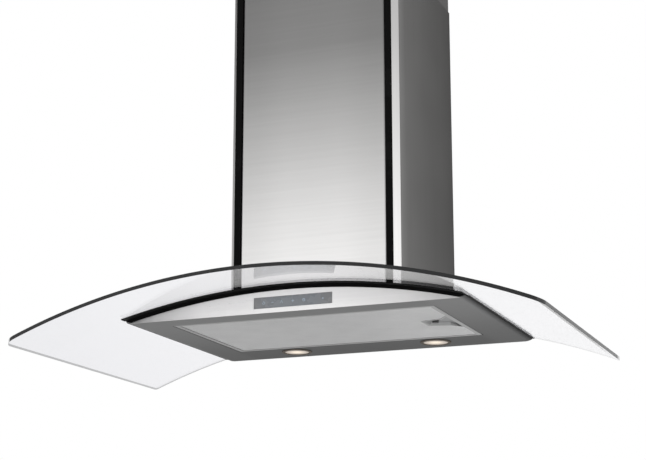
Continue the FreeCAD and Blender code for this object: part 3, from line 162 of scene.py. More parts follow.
RECESS_FLOOR = (1.0 * MM, 5.0 * MM)
KNOB_RIM = (7.0 * MM, 6.0 * MM)
FLOOR_FADE = (3.5, 9.0)

# Single places and values in the finishes.
# CORNER_REAR marks where the flue side's painted corner highlight starts.
CORNER_REAR = -295.5 * MM
SEAM_FRONT = -295.1 * MM
SEAM_REAR = -294.1 * MM
SEAM_HALF = 154.4 * MM
WINDOW_X = 8.0 * MM
LAMP_LENS_R = 22.2 * MM
STEEL_WARMTH = 0.008

# Light. Each lamp has its place, what it looks at and its power.
AMBIENT = 0.75
LAMP_SIZE = 2.4
LAMPS = {
    "key": ((-2.2, -2.8, 2.6), (0.0, -0.2, 0.1), 70.0),
    "fill": ((2.6, -2.4, 0.6), (0.0, -0.2, 0.2), 25.0),
    "rear": ((-1.0, 2.6, 2.2), (0.0, -0.2, 0.2), 40.0),
}

# Surroundings, which get a little darker overhead between two sines of height, and the floor.
SKY_DARKENS = 0.50
SKY_DARKEST = 0.98
SKY_LEVEL = 0.85
FLOOR_Z = -3.6
FLOOR_RADIUS = 18.0
FLOOR_STEPS = 64


# ---------------------------------------------------------------- node trees

class Wire:
    """An output in a node tree that can be used in sums."""

    def __init__(self, tree, socket):
        self.tree = tree
        self.socket = socket

    def maths(self, operation, *values):
        return self.tree.add("ShaderNodeMath", {"operation": operation}, dict(enumerate(values)))

    def __add__(self, other):
        return self.maths("ADD", self, other)

    def __radd__(self, other):
        return self.maths("ADD", other, self)

    def __sub__(self, other):
        return self.maths("SUBTRACT", self, other)

    def __rsub__(self, other):
        return self.maths("SUBTRACT", other, self)

    def __mul__(self, other):
        return self.maths("MULTIPLY", self, other)

    def __rmul__(self, other):
        return self.maths("MULTIPLY", other, self)

    def __truediv__(self, other):
        return self.maths("DIVIDE", self, other)

    def __pow__(self, other):
        return self.maths("POWER", self, other)

    def __mod__(self, other):
        return self.maths("MODULO", self, other)

    def most(self, other):
        return self.maths("MAXIMUM", self, other)

    def above(self, other):
        return self.maths("GREATER_THAN", self, other)

    def below(self, other):
        return self.maths("LESS_THAN", self, other)

    def size(self):
        return self.maths("ABSOLUTE", self)


class Tree:
    """A shader or geometry tree with one way to add nodes."""

    def __init__(self, tree):
        self.tree = tree

    def add(self, kind, settings=None, inputs=None, output=0):
        node = self.tree.nodes.new(kind)
        for key, value in (settings or {}).items():
            if key == "stops":
                fill_ramp(node.color_ramp, value)
            else:
                setattr(node, key, value)
        for key, value in (inputs or {}).items():
            self.plug(node.inputs[key], value)
        return Wire(self, node.outputs[output])

    def plug(self, socket, value):
        if isinstance(value, Wire):
            self.tree.links.new(value.socket, socket)
        else:
            socket.default_value = value

    def out(self, wire, name):
        return Wire(self, wire.socket.node.outputs[name])

    def axes(self, vector):
        split = self.add("ShaderNodeSeparateXYZ", inputs={"Vector": vector})
        return [self.out(split, axis) for axis in "XYZ"]


def fill_ramp(ramp, stops):
    """Sets a colour ramp's stops, given as (place, colour)."""
    while len(ramp.elements) < len(stops):
        ramp.elements.new(1.0)
    for element, (place, colour) in zip(ramp.elements, stops):
        element.position = place
        element.color = colour


class Finish(Tree):
    """One material: a Principled shader, its fixed values, and what varies over the surface."""

    def __init__(self, name, **fixed):
        self.material = bpy.data.materials.new(name)
        self.material.use_nodes = True
        super().__init__(self.material.node_tree)
        self.shader = next(n for n in self.tree.nodes if n.type == "BSDF_PRINCIPLED")
        self.place = self.add("ShaderNodeTexCoord", output="Object")
        for key, value in fixed.items():
            self.shader.inputs[key.replace("_", " ")].default_value = value

    def drive(self, **varying):
        """Links what changes over the surface."""
        for key, value in varying.items():
            self.plug(self.shader.inputs[key.replace("_", " ")], value)
        return self.material

    def noise(self, scale, detail=2.0, stretch=(1.0, 1.0, 1.0), rough=0.5):
        """Soft noise from 0 to 1; stretch is the number of waves along each axis for one of scale."""
        spread = self.add("ShaderNodeMapping", inputs={"Vector": self.place, "Scale": stretch})
        return self.add("ShaderNodeTexNoise", inputs={
            "Vector": spread, "Scale": scale, "Detail": detail, "Roughness": rough})

    def cells(self, scale, feature="F1", output="Distance", stretch=(1.0, 1.0, 1.0)):
        """Cells round scattered points."""
        spread = self.add("ShaderNodeMapping", inputs={"Vector": self.place, "Scale": stretch})
        return self.add("ShaderNodeTexVoronoi", {"feature": feature},
                        {"Vector": spread, "Scale": scale}, output)

    def ramp(self, value, stops):
        """Colour from a number, by stops of (place, colour)."""
        return self.add("ShaderNodeValToRGB", {"stops": stops}, {"Fac": value})

    def fade(self, value, low, high):
        """0 at low, 1 at high, and smooth between."""
        return self.add("ShaderNodeMapRange", {"interpolation_type": "SMOOTHSTEP"},
                        {"Value": value, "From Min": low, "From Max": high})

    def shade(self, value, low, high, *points):
        """Steel grey from a number between low and high, by points of (number, level)."""
        share = self.add("ShaderNodeMapRange", inputs={"Value": value, "From Min": low, "From Max": high})
        stops = [((place - low) / (high - low), grey(level, STEEL_WARMTH)) for place, level in points]
        return self.ramp(share, stops)

    def blend(self, factor, first, second):
        """Mixes two colours."""
        settings = {"data_type": "RGBA", "clamp_factor": True}
        return self.add("ShaderNodeMix", settings, {0: factor, 6: first, 7: second}, 2)

    def tint(self, colour, amount):
        """A colour times a number that varies."""
        if not isinstance(colour, Wire):
            colour = colour[:3]
        return self.add("ShaderNodeVectorMath", {"operation": "SCALE"}, {0: colour, "Scale": amount})

    def bump(self, height, strength, distance):
        """Normal from a height."""
        return self.add("ShaderNodeBump", inputs={
            "Height": height, "Strength": strength, "Distance": distance})


def grey(level, warmth=0.0):
    """A grey of one brightness, a little warm or cool."""
    return (level * (1.0 + warmth), level, level * (1.0 - warmth), 1.0)


# ---------------------------------------------------------------- finishes

# Waves of the steel's grain along each axis, for one of the noise's scale.
GRAINS = {"across": (1.0, 60.0, 60.0), "upright": (60.0, 60.0, 1.0)}


def brushed(finish, colour, grain, roughness):
    """Adds hairlines, soft streaks and handling marks to a steel colour."""
    stretch = GRAINS[grain]
    hairline = finish.noise(22.0, 3.0, stretch, 0.7)
    streak = finish.noise(3.0, 2.0, stretch)
    cloud = finish.noise(7.0, 3.0)
    light = 0.93 + 0.07 * hairline + 0.09 * (streak - 0.5) + 0.05 * (cloud - 0.3)
    rough = roughness + 0.12 * (hairline - 0.5) + 0.08 * (cloud - 0.5)
    height = hairline + 0.4 * streak
    return finish.drive(Base_Color=finish.tint(colour, light), Roughness=rough,
                        Normal=finish.bump(height, 0.12, 0.0002))


def underside_steel():
    """Folded sheet of the underside, painted with light and shade: mid grey in front, darker towards the
    wall.

    It has a painted highlight beside the filter, and painted shade where its right side turns up.
    """
    finish = Finish("brushed_underside_steel", Metallic=1.0, Specular_Tint=grey(0.4))
    x, y, _ = finish.axes(finish.place)
    # Painted shade: darker towards the wall, and shifting from left to right.
    painted_shade_to_wall = finish.fade(y, *TRAY_TO_WALL)
    painted_light_to_right = finish.fade(x, *TRAY_TO_RIGHT)
    front = finish.blend(painted_light_to_right, grey(0.33), grey(0.32))
    rear = finish.blend(painted_light_to_right, grey(0.135), grey(0.165))
    tone = finish.blend(painted_shade_to_wall, front, rear)
    # Painted highlight beside the filter, and painted shade where the right side turns up; there the sheet
    # also loses its metal and gloss.
    flank_highlight = finish.fade(x.size(), *TRAY_FLANK) * painted_shade_to_wall.most(0.6 * painted_light_to_right)
    bend_shade = finish.fade(x, *TRAY_BEND)
    tone = finish.tint(tone, (1.0 + 0.20 * flank_highlight) * (1.0 - 0.85 * bend_shade))
    finish.drive(Metallic=1.0 - bend_shade)
    return brushed(finish, tone, "across", 0.34 + 0.5 * bend_shade)


def fascia_steel():
    """Bright front plate with painted shade towards both tips and a painted highlight along its lower edge.
    """
    finish = Finish("brushed_fascia_steel", Metallic=1.0)
    x, _, z = finish.axes(finish.place)
    # Painted reflection: bright in the middle, shading off to both tips.
    tone = finish.shade(x, *FASCIA_WIDTH, (-0.29, 0.26), (-0.24, 0.52), (-0.15, 0.84),
                        (-0.03, 0.93), (0.08, 0.92), (0.20, 0.75), (0.29, 0.48))
    # Painted highlight along the lower edge.
    foot_highlight = finish.fade(z, *FASCIA_FOOT)
    tone = finish.tint(tone, 0.95 + 0.10 * foot_highlight)
    return brushed(finish, tone, "across", 0.30)


def panel_painted_shade(finish, z):
    """Painted light and shade of the flue front by height: light at the bottom, darker higher up."""
    return finish.shade(z, *FLUE_HEIGHT, (0.0, 0.95), (0.07, 0.93), (0.11, 0.90), (0.20, 0.76),
                        (0.30, 0.565), (0.40, 0.39), (0.49, 0.26), (0.80, 0.15))


def panel_steel():
    """Flue front, painted with light and shade: light at the bottom, darker with height, darker on its rolled
    edges and towards its sides, with a painted highlight along the top edge.
    """
    finish = Finish("brushed_panel_steel", Metallic=1.0, Specular_Tint=grey(0.5))
    x, _, z = finish.axes(finish.place)
    # Painted shade on the rolled edges and towards the sides.
    roll_shade = finish.fade(x.size(), *PANEL_ROLL)
    edge = finish.fade(x.size(), *PANEL_EDGE)
    tone = finish.tint(panel_painted_shade(finish, z), 1.0 - 0.5 * roll_shade - 0.09 * edge)
    # Painted highlight along the top edge.
    tone = finish.blend(finish.fade(z, *PANEL_TOP), tone, grey(0.62))
    return brushed(finish, tone, "across", 0.32)


def side_steel():
    """Flue sides with painted shade, darker towards the wall; bright slanted corners with a painted highlight
    that dims with height; and a dark seam behind them.
    """
    finish = Finish("brushed_flue_steel", Metallic=1.0, Specular_Tint=grey(0.12))
    x, y, z = finish.axes(finish.place)
    # Painted shade of the sides, darker towards the wall.
    side = finish.shade(y, *FLUE_DEPTH, (-0.30, 0.46), (-0.285, 0.41), (-0.262, 0.35),
                        (-0.16, 0.31), (-0.05, 0.285), (0.0, 0.26))
    # Painted highlight on the slanted corners, dimmer higher up.
    corner = finish.shade(z, *FLUE_HEIGHT, (0.0, 1.0), (0.15, 0.95), (0.33, 0.75), (0.49, 0.57),
                          (0.8, 0.40))
    tone = finish.blend(y.below(CORNER_REAR), side, corner)
    seam = y.below(SEAM_REAR) * y.above(SEAM_FRONT) * x.size().below(SEAM_HALF)
    tone = finish.blend(seam, tone, grey(0.02))
    return brushed(finish, tone, "upright", 0.33)


def sleeve_steel():
    """Upper sleeve: the panel's painted light and shade in front, plain grey on its sides, with rub marks
    from sliding.
    """
    finish = Finish("brushed_sleeve_steel", Metallic=1.0, Specular_Tint=grey(0.12))
    _, y, z = finish.axes(finish.place)
    # The front takes the panel's painted light and shade by height.
    front = finish.fade(y, *SLEEVE_FRONT)
    tone = finish.blend(front, grey(0.32, 0.01), panel_painted_shade(finish, z))
    rub = finish.fade(finish.noise(4.0, 4.0, GRAINS["upright"]), 0.64, 0.72)
    tone = finish.blend(0.14 * rub, tone, grey(0.5))
    return brushed(finish, tone, "upright", 0.36)


def galvanised():
    """Zinc-coated inner sheet with its spangle."""
    finish = Finish("galvanised_sheet", Metallic=0.9)
    crystal = finish.cells(90.0, output="Color")
    grain = finish.add("ShaderNodeSeparateColor", inputs={"Color": crystal})
    cloud = finish.noise(9.0, 4.0)
    tone = finish.blend(grain, (0.36, 0.38, 0.40, 1.0), (0.58, 0.60, 0.62, 1.0))
    tone = finish.tint(tone, 0.82 + 0.3 * cloud)
    rough = 0.34 + 0.2 * grain + 0.1 * cloud
    return finish.drive(Base_Color=tone, Roughness=rough, Normal=finish.bump(grain, 0.08, 0.0003))


def black_strip():
    """Satin black corner strip of the flue."""
    finish = Finish("black_corner_strip", Specular_IOR_Level=0.05)
    fleck = finish.noise(900.0, 2.0)
    dust = finish.noise(14.0, 4.0).above(0.62)
    tone = finish.blend(0.3 * dust, grey(0.002), grey(0.008))
    return finish.drive(Base_Color=tone, Roughness=0.42 + 0.15 * fleck,
                        Normal=finish.bump(fleck, 0.1, 0.0001))


def rubber():
    """Matt black gasket rubber with a faint skin and dust."""
    finish = Finish("gasket_rubber", Specular_IOR_Level=0.1)
    skin = finish.noise(700.0, 3.0)
    dust = finish.fade(finish.noise(25.0, 4.0), 0.5, 0.8)
    tone = finish.blend(0.4 * dust, grey(0.003), (0.015, 0.0148, 0.0145, 1.0))
    return finish.drive(Base_Color=tone, Roughness=0.5 + 0.2 * skin,
                        Normal=finish.bump(skin, 0.25, 0.0002))


def moulded(name, colour, roughness):
    """Moulded plastic with a fine eroded skin."""
    finish = Finish(name)
    skin = finish.noise(420.0, 3.0)
    cloud = finish.noise(18.0, 3.0)
    tone = finish.tint(colour, 0.86 + 0.14 * cloud + 0.1 * skin)
    rough = roughness + 0.15 * (skin - 0.5) + 0.1 * (cloud - 0.5)
    return finish.drive(Base_Color=tone, Roughness=rough, Normal=finish.bump(skin, 0.22, 0.0002))


def plain_metal(name, colour, roughness, metal=1.0):
    """Bare metal with fine scratches and slight stains."""
    finish = Finish(name, Metallic=metal)
    line = finish.noise(140.0, 4.0, (1.0, 7.0, 3.0), 0.7)
    stain = finish.noise(30.0, 3.0)
    tone = finish.tint(colour, 0.84 + 0.18 * stain + 0.08 * line)
    rough = roughness + 0.14 * (line - 0.5) + 0.1 * (stain - 0.5)
    return finish.drive(Base_Color=tone, Roughness=rough, Normal=finish.bump(line, 0.1, 0.0002))


def glass():
    """Clear sheet glass, very slightly tinted."""
    finish = Finish("bent_clear_glass", Transmission_Weight=1.0, IOR=1.25, Roughness=0.0)
    wipe = finish.fade(finish.noise(5.0, 4.0, (1.0, 3.0, 1.0)), 0.45, 0.9)
    clear = (0.862, 0.862, 0.885, 1.0)
    wiped = (0.842, 0.845, 0.865, 1.0)
    return finish.drive(Base_Color=finish.blend(wipe, clear, wiped))


def glass_edge(name, left, right, glow=0.0):
    """Ground and polished edge of the glass sheet, with painted light and shade from its left to its right.

    A painted glow lights the edge at its left end and along the wall.
    """
    finish = Finish(name, Specular_IOR_Level=0.2, Coat_Roughness=0.05, Coat_Weight=0.1, IOR=1.5,
                    Emission_Strength=1.0)
    x, y, _ = finish.axes(finish.place)
    mark = finish.noise(30.0, 4.0, (1.0, 6.0, 60.0))
    # Painted light and shade from left to right.
    painted_light_to_right = finish.fade(x, *GLASS_TO_RIGHT)
    tone = finish.blend(painted_light_to_right, grey(left, -0.02), grey(right, -0.02))
    # Painted glow at the left end and along the wall; glow sets how bright it is.
    painted_glow_mask = (1.0 - painted_light_to_right).most(finish.fade(y, *GLASS_REAR_EDGE))
    return finish.drive(Base_Color=finish.tint(tone, 0.5 + mark), Roughness=0.25 + 0.2 * mark,
                        Emission_Color=finish.tint(grey(glow), painted_glow_mask),
                        Normal=finish.bump(mark, 0.12, 0.0002))


def smoked_window():
    """Grey-blue touch window, clearer in its middle."""
    finish = Finish("smoked_touch_window", Coat_Weight=0.3, Coat_Roughness=0.03)
    x = finish.axes(finish.place)[0]
    middle = finish.fade((x - WINDOW_X).size(), *WINDOW_MIDDLE)
    cloud = finish.noise(60.0, 3.0)
    tone = finish.blend(middle, (0.275, 0.277, 0.28, 1.0), (0.270, 0.288, 0.308, 1.0))
    tone = finish.tint(tone, 0.95 + 0.1 * cloud)
    return finish.drive(Base_Color=tone, Roughness=0.22 + 0.1 * cloud)


def mark_light():
    """Pale blue light of the touch marks."""
    finish = Finish("touch_mark_light", Base_Color=(0.4, 0.5, 0.62, 1.0), Roughness=0.4,
                    Emission_Strength=0.22)
    flicker = finish.noise(900.0, 2.0)
    return finish.drive(Emission_Color=finish.blend(flicker, (0.55, 0.72, 0.95, 1.0), (0.75, 0.87, 1.0, 1.0)))


def circuit():
    """Solder-masked board with copper paths under the green."""
    finish = Finish("circuit_board_green")
    path = finish.cells(260.0, "DISTANCE_TO_EDGE")
    copper = finish.fade(path, 0.10, 0.04)
    tone = finish.blend(copper, (0.012, 0.075, 0.035, 1.0), (0.05, 0.17, 0.06, 1.0))
    return finish.drive(Base_Color=tone, Roughness=0.35 + 0.2 * copper,
                        Normal=finish.bump(copper, 0.2, 0.0002))


def mesh_layers():
    """Stacked expanded layers behind the outer sheet of the filter."""
    finish = Finish("filter_inner_layers", Metallic=0.85, Specular_Tint=grey(0.4))
    diamond = finish.cells(1.0, "DISTANCE_TO_EDGE", stretch=(190.0, 330.0, 1.0))
    strand = finish.fade(diamond, 0.22, 0.10)
    oil = finish.noise(20.0, 3.0)
    tone = finish.blend(strand, grey(0.22), grey(0.50))
    tone = finish.tint(tone, 0.9 + 0.2 * oil)
    return finish.drive(Base_Color=tone, Roughness=0.4 + 0.2 * (1.0 - strand),
                        Normal=finish.bump(strand, 0.5, 0.0005))


def filter_metal(name, level):
    """Anodised aluminium of the filter, with fine rolling lines, and painted light that makes it a little
    lighter to the right.
    """
    finish = Finish(name, Metallic=0.9, Specular_Tint=grey(0.4))
    line = finish.noise(30.0, 3.0, (1.0, 40.0, 40.0), 0.6)
    dull = finish.noise(24.0, 3.0)
    # Painted light: a little lighter to the right.
    painted_light_to_right = finish.fade(finish.axes(finish.place)[0], *FILTER_TO_RIGHT)
    light = 0.86 + 0.12 * line + 0.12 * dull
    tone = finish.tint(grey(level, 0.005), light * (1.0 + 0.12 * painted_light_to_right))
    return finish.drive(Base_Color=tone, Roughness=0.36 + 0.16 * line,
                        Normal=finish.bump(line, 0.12, 0.0002))


def recess_metal():
    """Pressed finger recess, with painted shade that darkens its floor."""
    finish = Finish("pressed_recess_metal", Metallic=0.5, Specular_Tint=grey(0.5))
    # Painted shade in the floor of the recess.
    recess_floor_shade = finish.fade(finish.axes(finish.place)[2], *RECESS_FLOOR)
    cloud = finish.noise(60.0, 3.0)
    tone = finish.blend(recess_floor_shade, grey(0.40), grey(0.36))
    tone = finish.tint(tone, 0.9 + 0.2 * cloud)
    return finish.drive(Base_Color=tone, Roughness=0.38 + 0.1 * cloud,
                        Normal=finish.bump(cloud, 0.1, 0.0002))


def latch_plastic():
    """Slider of the latch: a black knob on a grey slide."""
    finish = Finish("latch_two_tone_plastic")
    x = finish.axes(finish.place)[0]
    skin = finish.noise(420.0, 3.0)
    knob = finish.fade((x - KNOB_X).size(), *KNOB_RIM)
    tone = finish.blend(knob, grey(0.26), grey(0.035))
    return finish.drive(Base_Color=finish.tint(tone, 0.9 + 0.2 * skin), Roughness=0.35 + 0.15 * skin,
                        Normal=finish.bump(skin, 0.2, 0.0002))


def lamp_place(finish, side):
    """Distance from the axis of one lamp, in metres."""
    low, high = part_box("lamp_lens_" + side)
    centre = (low + high) / 2
    x, y, _ = finish.axes(finish.place)
    return ((x - centre.x) ** 2.0 + (y - centre.y) ** 2.0) ** 0.5


def lamp_lens(side):
    """Frosted cover, glowing warm white from its middle."""
    finish = Finish("lamp_lens_glow_" + side, Roughness=0.5, Emission_Strength=1.0)
    out = lamp_place(finish, side) / LAMP_LENS_R
    speck = finish.noise(700.0, 2.0)
    glow = finish.ramp(out, [(0.0, (0.86, 0.76, 0.63, 1.0)), (0.30, (0.76, 0.66, 0.53, 1.0)),
                             (0.60, (0.46, 0.395, 0.335, 1.0)), (0.85, (0.33, 0.285, 0.25, 1.0)),
                             (1.0, (0.14, 0.12, 0.10, 1.0))])
    return finish.drive(Emission_Color=finish.tint(glow, 0.92 + 0.16 * speck),
                        Base_Color=finish.tint((0.16, 0.14, 0.115, 1.0), 0.9 + 0.2 * speck),
                        Normal=finish.bump(speck, 0.3, 0.0002))


def lamp_ring():
    """Plated trim ring, with the lamp's warm light painted into its colour as a brown tint."""
    finish = Finish("lamp_trim_ring", Metallic=1.0, Specular_Tint=grey(0.3))
    line = finish.noise(120.0, 3.0)
    # Painted lamp light: a warm brown tint.
    tone = finish.blend(finish.noise(40.0, 2.0), (0.17, 0.145, 0.12, 1.0), (0.24, 0.205, 0.175, 1.0))
    return finish.drive(Base_Color=tone, Roughness=0.2 + 0.15 * line,
                        Normal=finish.bump(line, 0.05, 0.0002))


def lamp_mirror():
    """Dimpled reflector of a lamp."""
    finish = Finish("lamp_reflector_metal", Metallic=1.0)
    dimple = finish.cells(420.0)
    return finish.drive(Base_Color=finish.blend(dimple, grey(0.78, 0.03), grey(0.9, 0.02)),
                        Roughness=0.12 + 0.1 * dimple, Normal=finish.bump(dimple, 0.4, 0.0004))


def bulb_glow():
    """Glass capsule with a bright core."""
    finish = Finish("capsule_bulb_glow", Roughness=0.15, Emission_Strength=2.0,
                    Base_Color=(0.9, 0.85, 0.75, 1.0))
    core = finish.noise(240.0, 2.0)
    return finish.drive(Emission_Color=finish.blend(core, (1.0, 0.86, 0.62, 1.0), (1.0, 0.93, 0.78, 1.0)))


def turned_steel():
    """Turned caps of the glass fixings."""
    finish = Finish("turned_cap_steel", Metallic=1.0)
    ring = finish.noise(260.0, 2.0, (1.0, 1.0, 0.2))
    tone = finish.blend(ring, grey(0.50), grey(0.62))
    return finish.drive(Base_Color=tone, Roughness=0.22 + 0.14 * ring,
                        Normal=finish.bump(ring, 0.08, 0.0002))


def paint_nodes():
    """Gives each part of the frame its own finish, and returns those that other pieces share."""
    galvanised_sheet = galvanised()
    rubber_black = rubber()
    strip = black_strip()
    zinc = plain_metal("zinc_plated_steel", (0.52, 0.53, 0.52, 1.0), 0.34)
    ground = plain_metal("ground_steel", (0.60, 0.60, 0.60, 1.0), 0.2)
    frame_metal = filter_metal("filter_frame_aluminium", 0.50)
    collar = moulded("collar_black_plastic", (0.028, 0.028, 0.030, 1.0), 0.5)
    flap = moulded("flap_grey_plastic", (0.22, 0.225, 0.23, 1.0), 0.45)
    finishes = {
        "canopy_tray": underside_steel(),
        "front_fascia": fascia_steel(),
        "flue_front_panel": panel_steel(),
        "flue_lower_shell": side_steel(),
        "flue_upper_shell": sleeve_steel(),
        "flue_trim_left": strip,
        "flue_trim_right": strip,
        "glass_front_gasket": rubber_black,
        "glass_side_gasket_left": rubber_black,
        "glass_side_gasket_right": rubber_black,
        "glass_washers": rubber_black,
        "glass_fixing_caps": turned_steel(),
        "canopy_top_sheet": galvanised_sheet,
        "canopy_back_panel": galvanised_sheet,
        "motor_box": galvanised_sheet,
        "motor_box_front": galvanised_sheet,
        "scroll_band": galvanised_sheet,
        "scroll_side_left": galvanised_sheet,
        "scroll_side_right": galvanised_sheet,
        "flue_wall_bracket": galvanised_sheet,
        "filter_catch_plate": galvanised_sheet,
        "motor_bracket": zinc,
        "fascia_studs": zinc,
        "motor_shaft": ground,
        "damper_pin": ground,
        "display_window": smoked_window(),
        "control_board": circuit(),
        "control_board_housing": moulded("housing_grey_plastic", (0.30, 0.31, 0.31, 1.0), 0.5),
        "filter_frame": frame_metal,
        "filter_mesh_core": mesh_layers(),
        "filter_handle_recess": recess_metal(),
        "filter_latch_slider": latch_plastic(),
        "motor_body": plain_metal("motor_can_steel", (0.40, 0.41, 0.42, 1.0), 0.42, metal=0.8),
        "run_capacitor": moulded("capacitor_white_plastic", (0.62, 0.63, 0.62, 1.0), 0.4),
        "terminal_box": moulded("terminal_black_plastic", (0.022, 0.022, 0.024, 1.0), 0.45),
        "cable_gland": moulded("gland_grey_nylon", (0.17, 0.175, 0.18, 1.0), 0.4),
        "lamp_transformer": moulded("transformer_pale_plastic", (0.66, 0.66, 0.64, 1.0), 0.42),
        "impeller": moulded("wheel_black_plastic", (0.03, 0.03, 0.032, 1.0), 0.42),
        "outlet_collar": collar,
        "damper_flap_front": flap,
        "damper_flap_rear": flap,
    }
    ring = lamp_ring()
    mirror = lamp_mirror()
    bulb = bulb_glow()
    ceramic = moulded("lamp_socket_ceramic", (0.72, 0.70, 0.66, 1.0), 0.35)
    for side in ("left", "right"):
        finishes["lamp_bezel_" + side] = ring
        finishes["lamp_lens_" + side] = lamp_lens(side)
        finishes["lamp_reflector_" + side] = mirror
        finishes["lamp_bulb_" + side] = bulb
        finishes["lamp_socket_" + side] = ceramic
    for name, material in finishes.items():
        for holder in NODES[name].material_slots:
            holder.material = material
    return {"zinc": zinc, "rubber": rubber_black, "ground": ground, "filter": frame_metal,
            "strand": filter_metal("filter_strand_aluminium", 0.80)}


# ---------------------------------------------------------------- pieces

def placed(name, data):
    """New object in the scene."""
    item = bpy.data.objects.new(name, data)
    bpy.context.scene.collection.objects.link(item)
    return item


def add_piece(name, mesh, body, slot, *materials):
    """Puts a finished mesh into the scene and lets it ride on a body."""
    for material in materials:
        mesh.materials.append(material)
    piece = placed(name, mesh)
    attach(piece, body)
    return piece


def mesh_from(points, faces):
    """Plain mesh from points and faces."""
    mesh = bpy.data.meshes.new("shape")
    mesh.from_pydata(points, [], faces)
    return mesh


def mesh_of(work, turn_outwards=False):
    """Plain mesh from a bmesh, which is freed."""
    if turn_outwards:
        bmesh.ops.recalc_face_normals(work, faces=work.faces)
    mesh = bpy.data.meshes.new("shape")
    work.to_mesh(mesh)
    work.free()
    return mesh


def merged_copy(node):
    """Bmesh copy of a node, with its loose triangles joined."""
    work = bmesh.new()
    work.from_mesh(NODES[node].data)
    bmesh.ops.remove_doubles(work, verts=work.verts, dist=NODE_MERGE)
    return work


def made_real(holder):
    """Plain mesh of an object as it is drawn. The object is removed."""
    done = holder.evaluated_get(bpy.context.evaluated_depsgraph_get())
    mesh = bpy.data.meshes.new_from_object(done)
    bpy.data.objects.remove(holder)
    return mesh


def finished(mesh, modifiers):
    """A mesh with its modifiers made real. Each is (kind, settings, sizes of its node group)."""
    holder = placed("holder", mesh)
    for number, (kind, settings, sizes) in enumerate(modifiers):
        modifier = holder.modifiers.new(str(number), kind)
        for key, value in settings.items():
            setattr(modifier, key, value)
        for name, value in sizes.items():
            modifier[modifier.node_group.interface.items_tree[name].identifier] = value
    return made_real(holder)


def carved(mesh, tool, *after, **settings):
    """A mesh with the space of a tool mesh cut away, and with more modifiers after that."""
    cutter = placed("cutter", tool)
    settings.update(operation="DIFFERENCE", solver="EXACT", object=cutter)
    result = finished(mesh, [("BOOLEAN", settings, {}), *after])
    bpy.data.objects.remove(cutter)
    return result


def smooth_by_angle(mesh):
    """Smooth shading, with edges over an angle kept sharp."""
    mesh.shade_smooth()
    mesh.set_sharp_from_angle(angle=math.radians(SHARP_FROM))
    return mesh


def eased(width):
    """Modifier that rounds sharp edges over."""
    return ("BEVEL", {"width": width, "segments": 2, "limit_method": "ANGLE",
                      "angle_limit": math.radians(EASED_FROM), "use_clamp_overlap": True}, {})


def arc_points(centre, radius, first, last, steps):
    """Points on an arc between two angles in degrees, both ends included."""
    points = []
    for number in range(steps + 1):
        turn = math.radians(first + (last - first) * number / steps)
        points.append((centre[0] + radius * math.cos(turn), centre[1] + radius * math.sin(turn)))
    return points


def flat_ring(inner, outer, low, high):
    """Flat ring between two closed outlines that have the same number of points."""
    work = bmesh.new()
    loops = [[work.verts.new((x, y, z)) for x, y in outline] for z, outline in
             ((low, inner), (low, outer), (high, outer), (high, inner))]
    for first, second in zip(loops, loops[1:] + loops[:1]):
        for number in range(len(inner)):
            follow = (number + 1) % len(inner)
            work.faces.new((first[number], first[follow], second[follow], second[number]))
    return mesh_of(work, turn_outwards=True)


# ---------------------------------------------------------------- glass

def glass_z(x, lift=0.0):
    """Height of the glass underside at x, or of the surface a set distance above it."""
    return GLASS_CROWN_Z - GLASS_RADIUS + math.sqrt((GLASS_RADIUS + lift) ** 2 - x ** 2)


def glass_outline():
    """Plan of the glass: bowed front with round corners, and a notch at the wall."""
    low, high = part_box("glass_canopy")
    half = high.x
    bow = (half ** 2 + GLASS_BOW ** 2) / (2 * GLASS_BOW)
    bow_y = low.y + bow
    corner_x = half - GLASS_FRONT_CORNER
    corner_y = bow_y - math.sqrt((bow - GLASS_FRONT_CORNER) ** 2 - corner_x ** 2)
    meet = math.degrees(math.atan2(corner_y - bow_y, corner_x))
    rear = GLASS_REAR_CORNER
    notch = NOTCH_CORNER
    right = arc_points((0.0, bow_y), bow, -90.0, meet, BOW_STEPS)
    right += arc_points((corner_x, corner_y), GLASS_FRONT_CORNER, meet, 0.0, FRONT_CORNER_STEPS)[1:]
    right += arc_points((half - rear, -rear), rear, 0.0, 90.0, REAR_CORNER_STEPS)
    right += [(NOTCH_HALF, 0.0)]
    right += arc_points((NOTCH_HALF - notch, -NOTCH_DEPTH + notch), notch, 0.0, -90.0, NOTCH_CORNER_STEPS)
    left = [(-x, y) for x, y in reversed(right[1:])]
    return right + left


def bent_glass():
    """The glass sheet, bent about one axis, with its edges eased and its fixing holes cut."""
    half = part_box("glass_canopy")[1].x
    work = bmesh.new()
    work.faces.new([work.verts.new((x, y, 0.0)) for x, y in glass_outline()])
    strips = round(half / GLASS_STRIP)
    for number in range(1 - strips, strips):
        plane = Vector((number * half / strips, 0.0, 0.0))
        bmesh.ops.bisect_plane(work, geom=work.verts[:] + work.edges[:] + work.faces[:],
                               dist=SHAPE_MERGE, plane_co=plane, plane_no=(1, 0, 0))
    grown = bmesh.ops.extrude_face_region(work, geom=work.faces[:], use_keep_orig=True)["geom"]
    upper = {item for item in grown if isinstance(item, bmesh.types.BMVert)}
    for vert in work.verts:
        vert.co.z = glass_z(vert.co.x, GLASS_THICK if vert in upper else 0.0)
    sheet = mesh_of(work, turn_outwards=True)
    mesh = smooth_by_angle(carved(sheet, fixing_cutters(), eased(GLASS_ARRIS)))
    side = half - GLASS_FRONT_CORNER / 2
    for face in mesh.polygons:
        if abs(face.normal.z) < EDGE_UPRIGHT:
            is_front = face.normal.y < FRONT_FACING and abs(face.center.x) < side
            face.material_index = 1 if is_front else 2
    return mesh


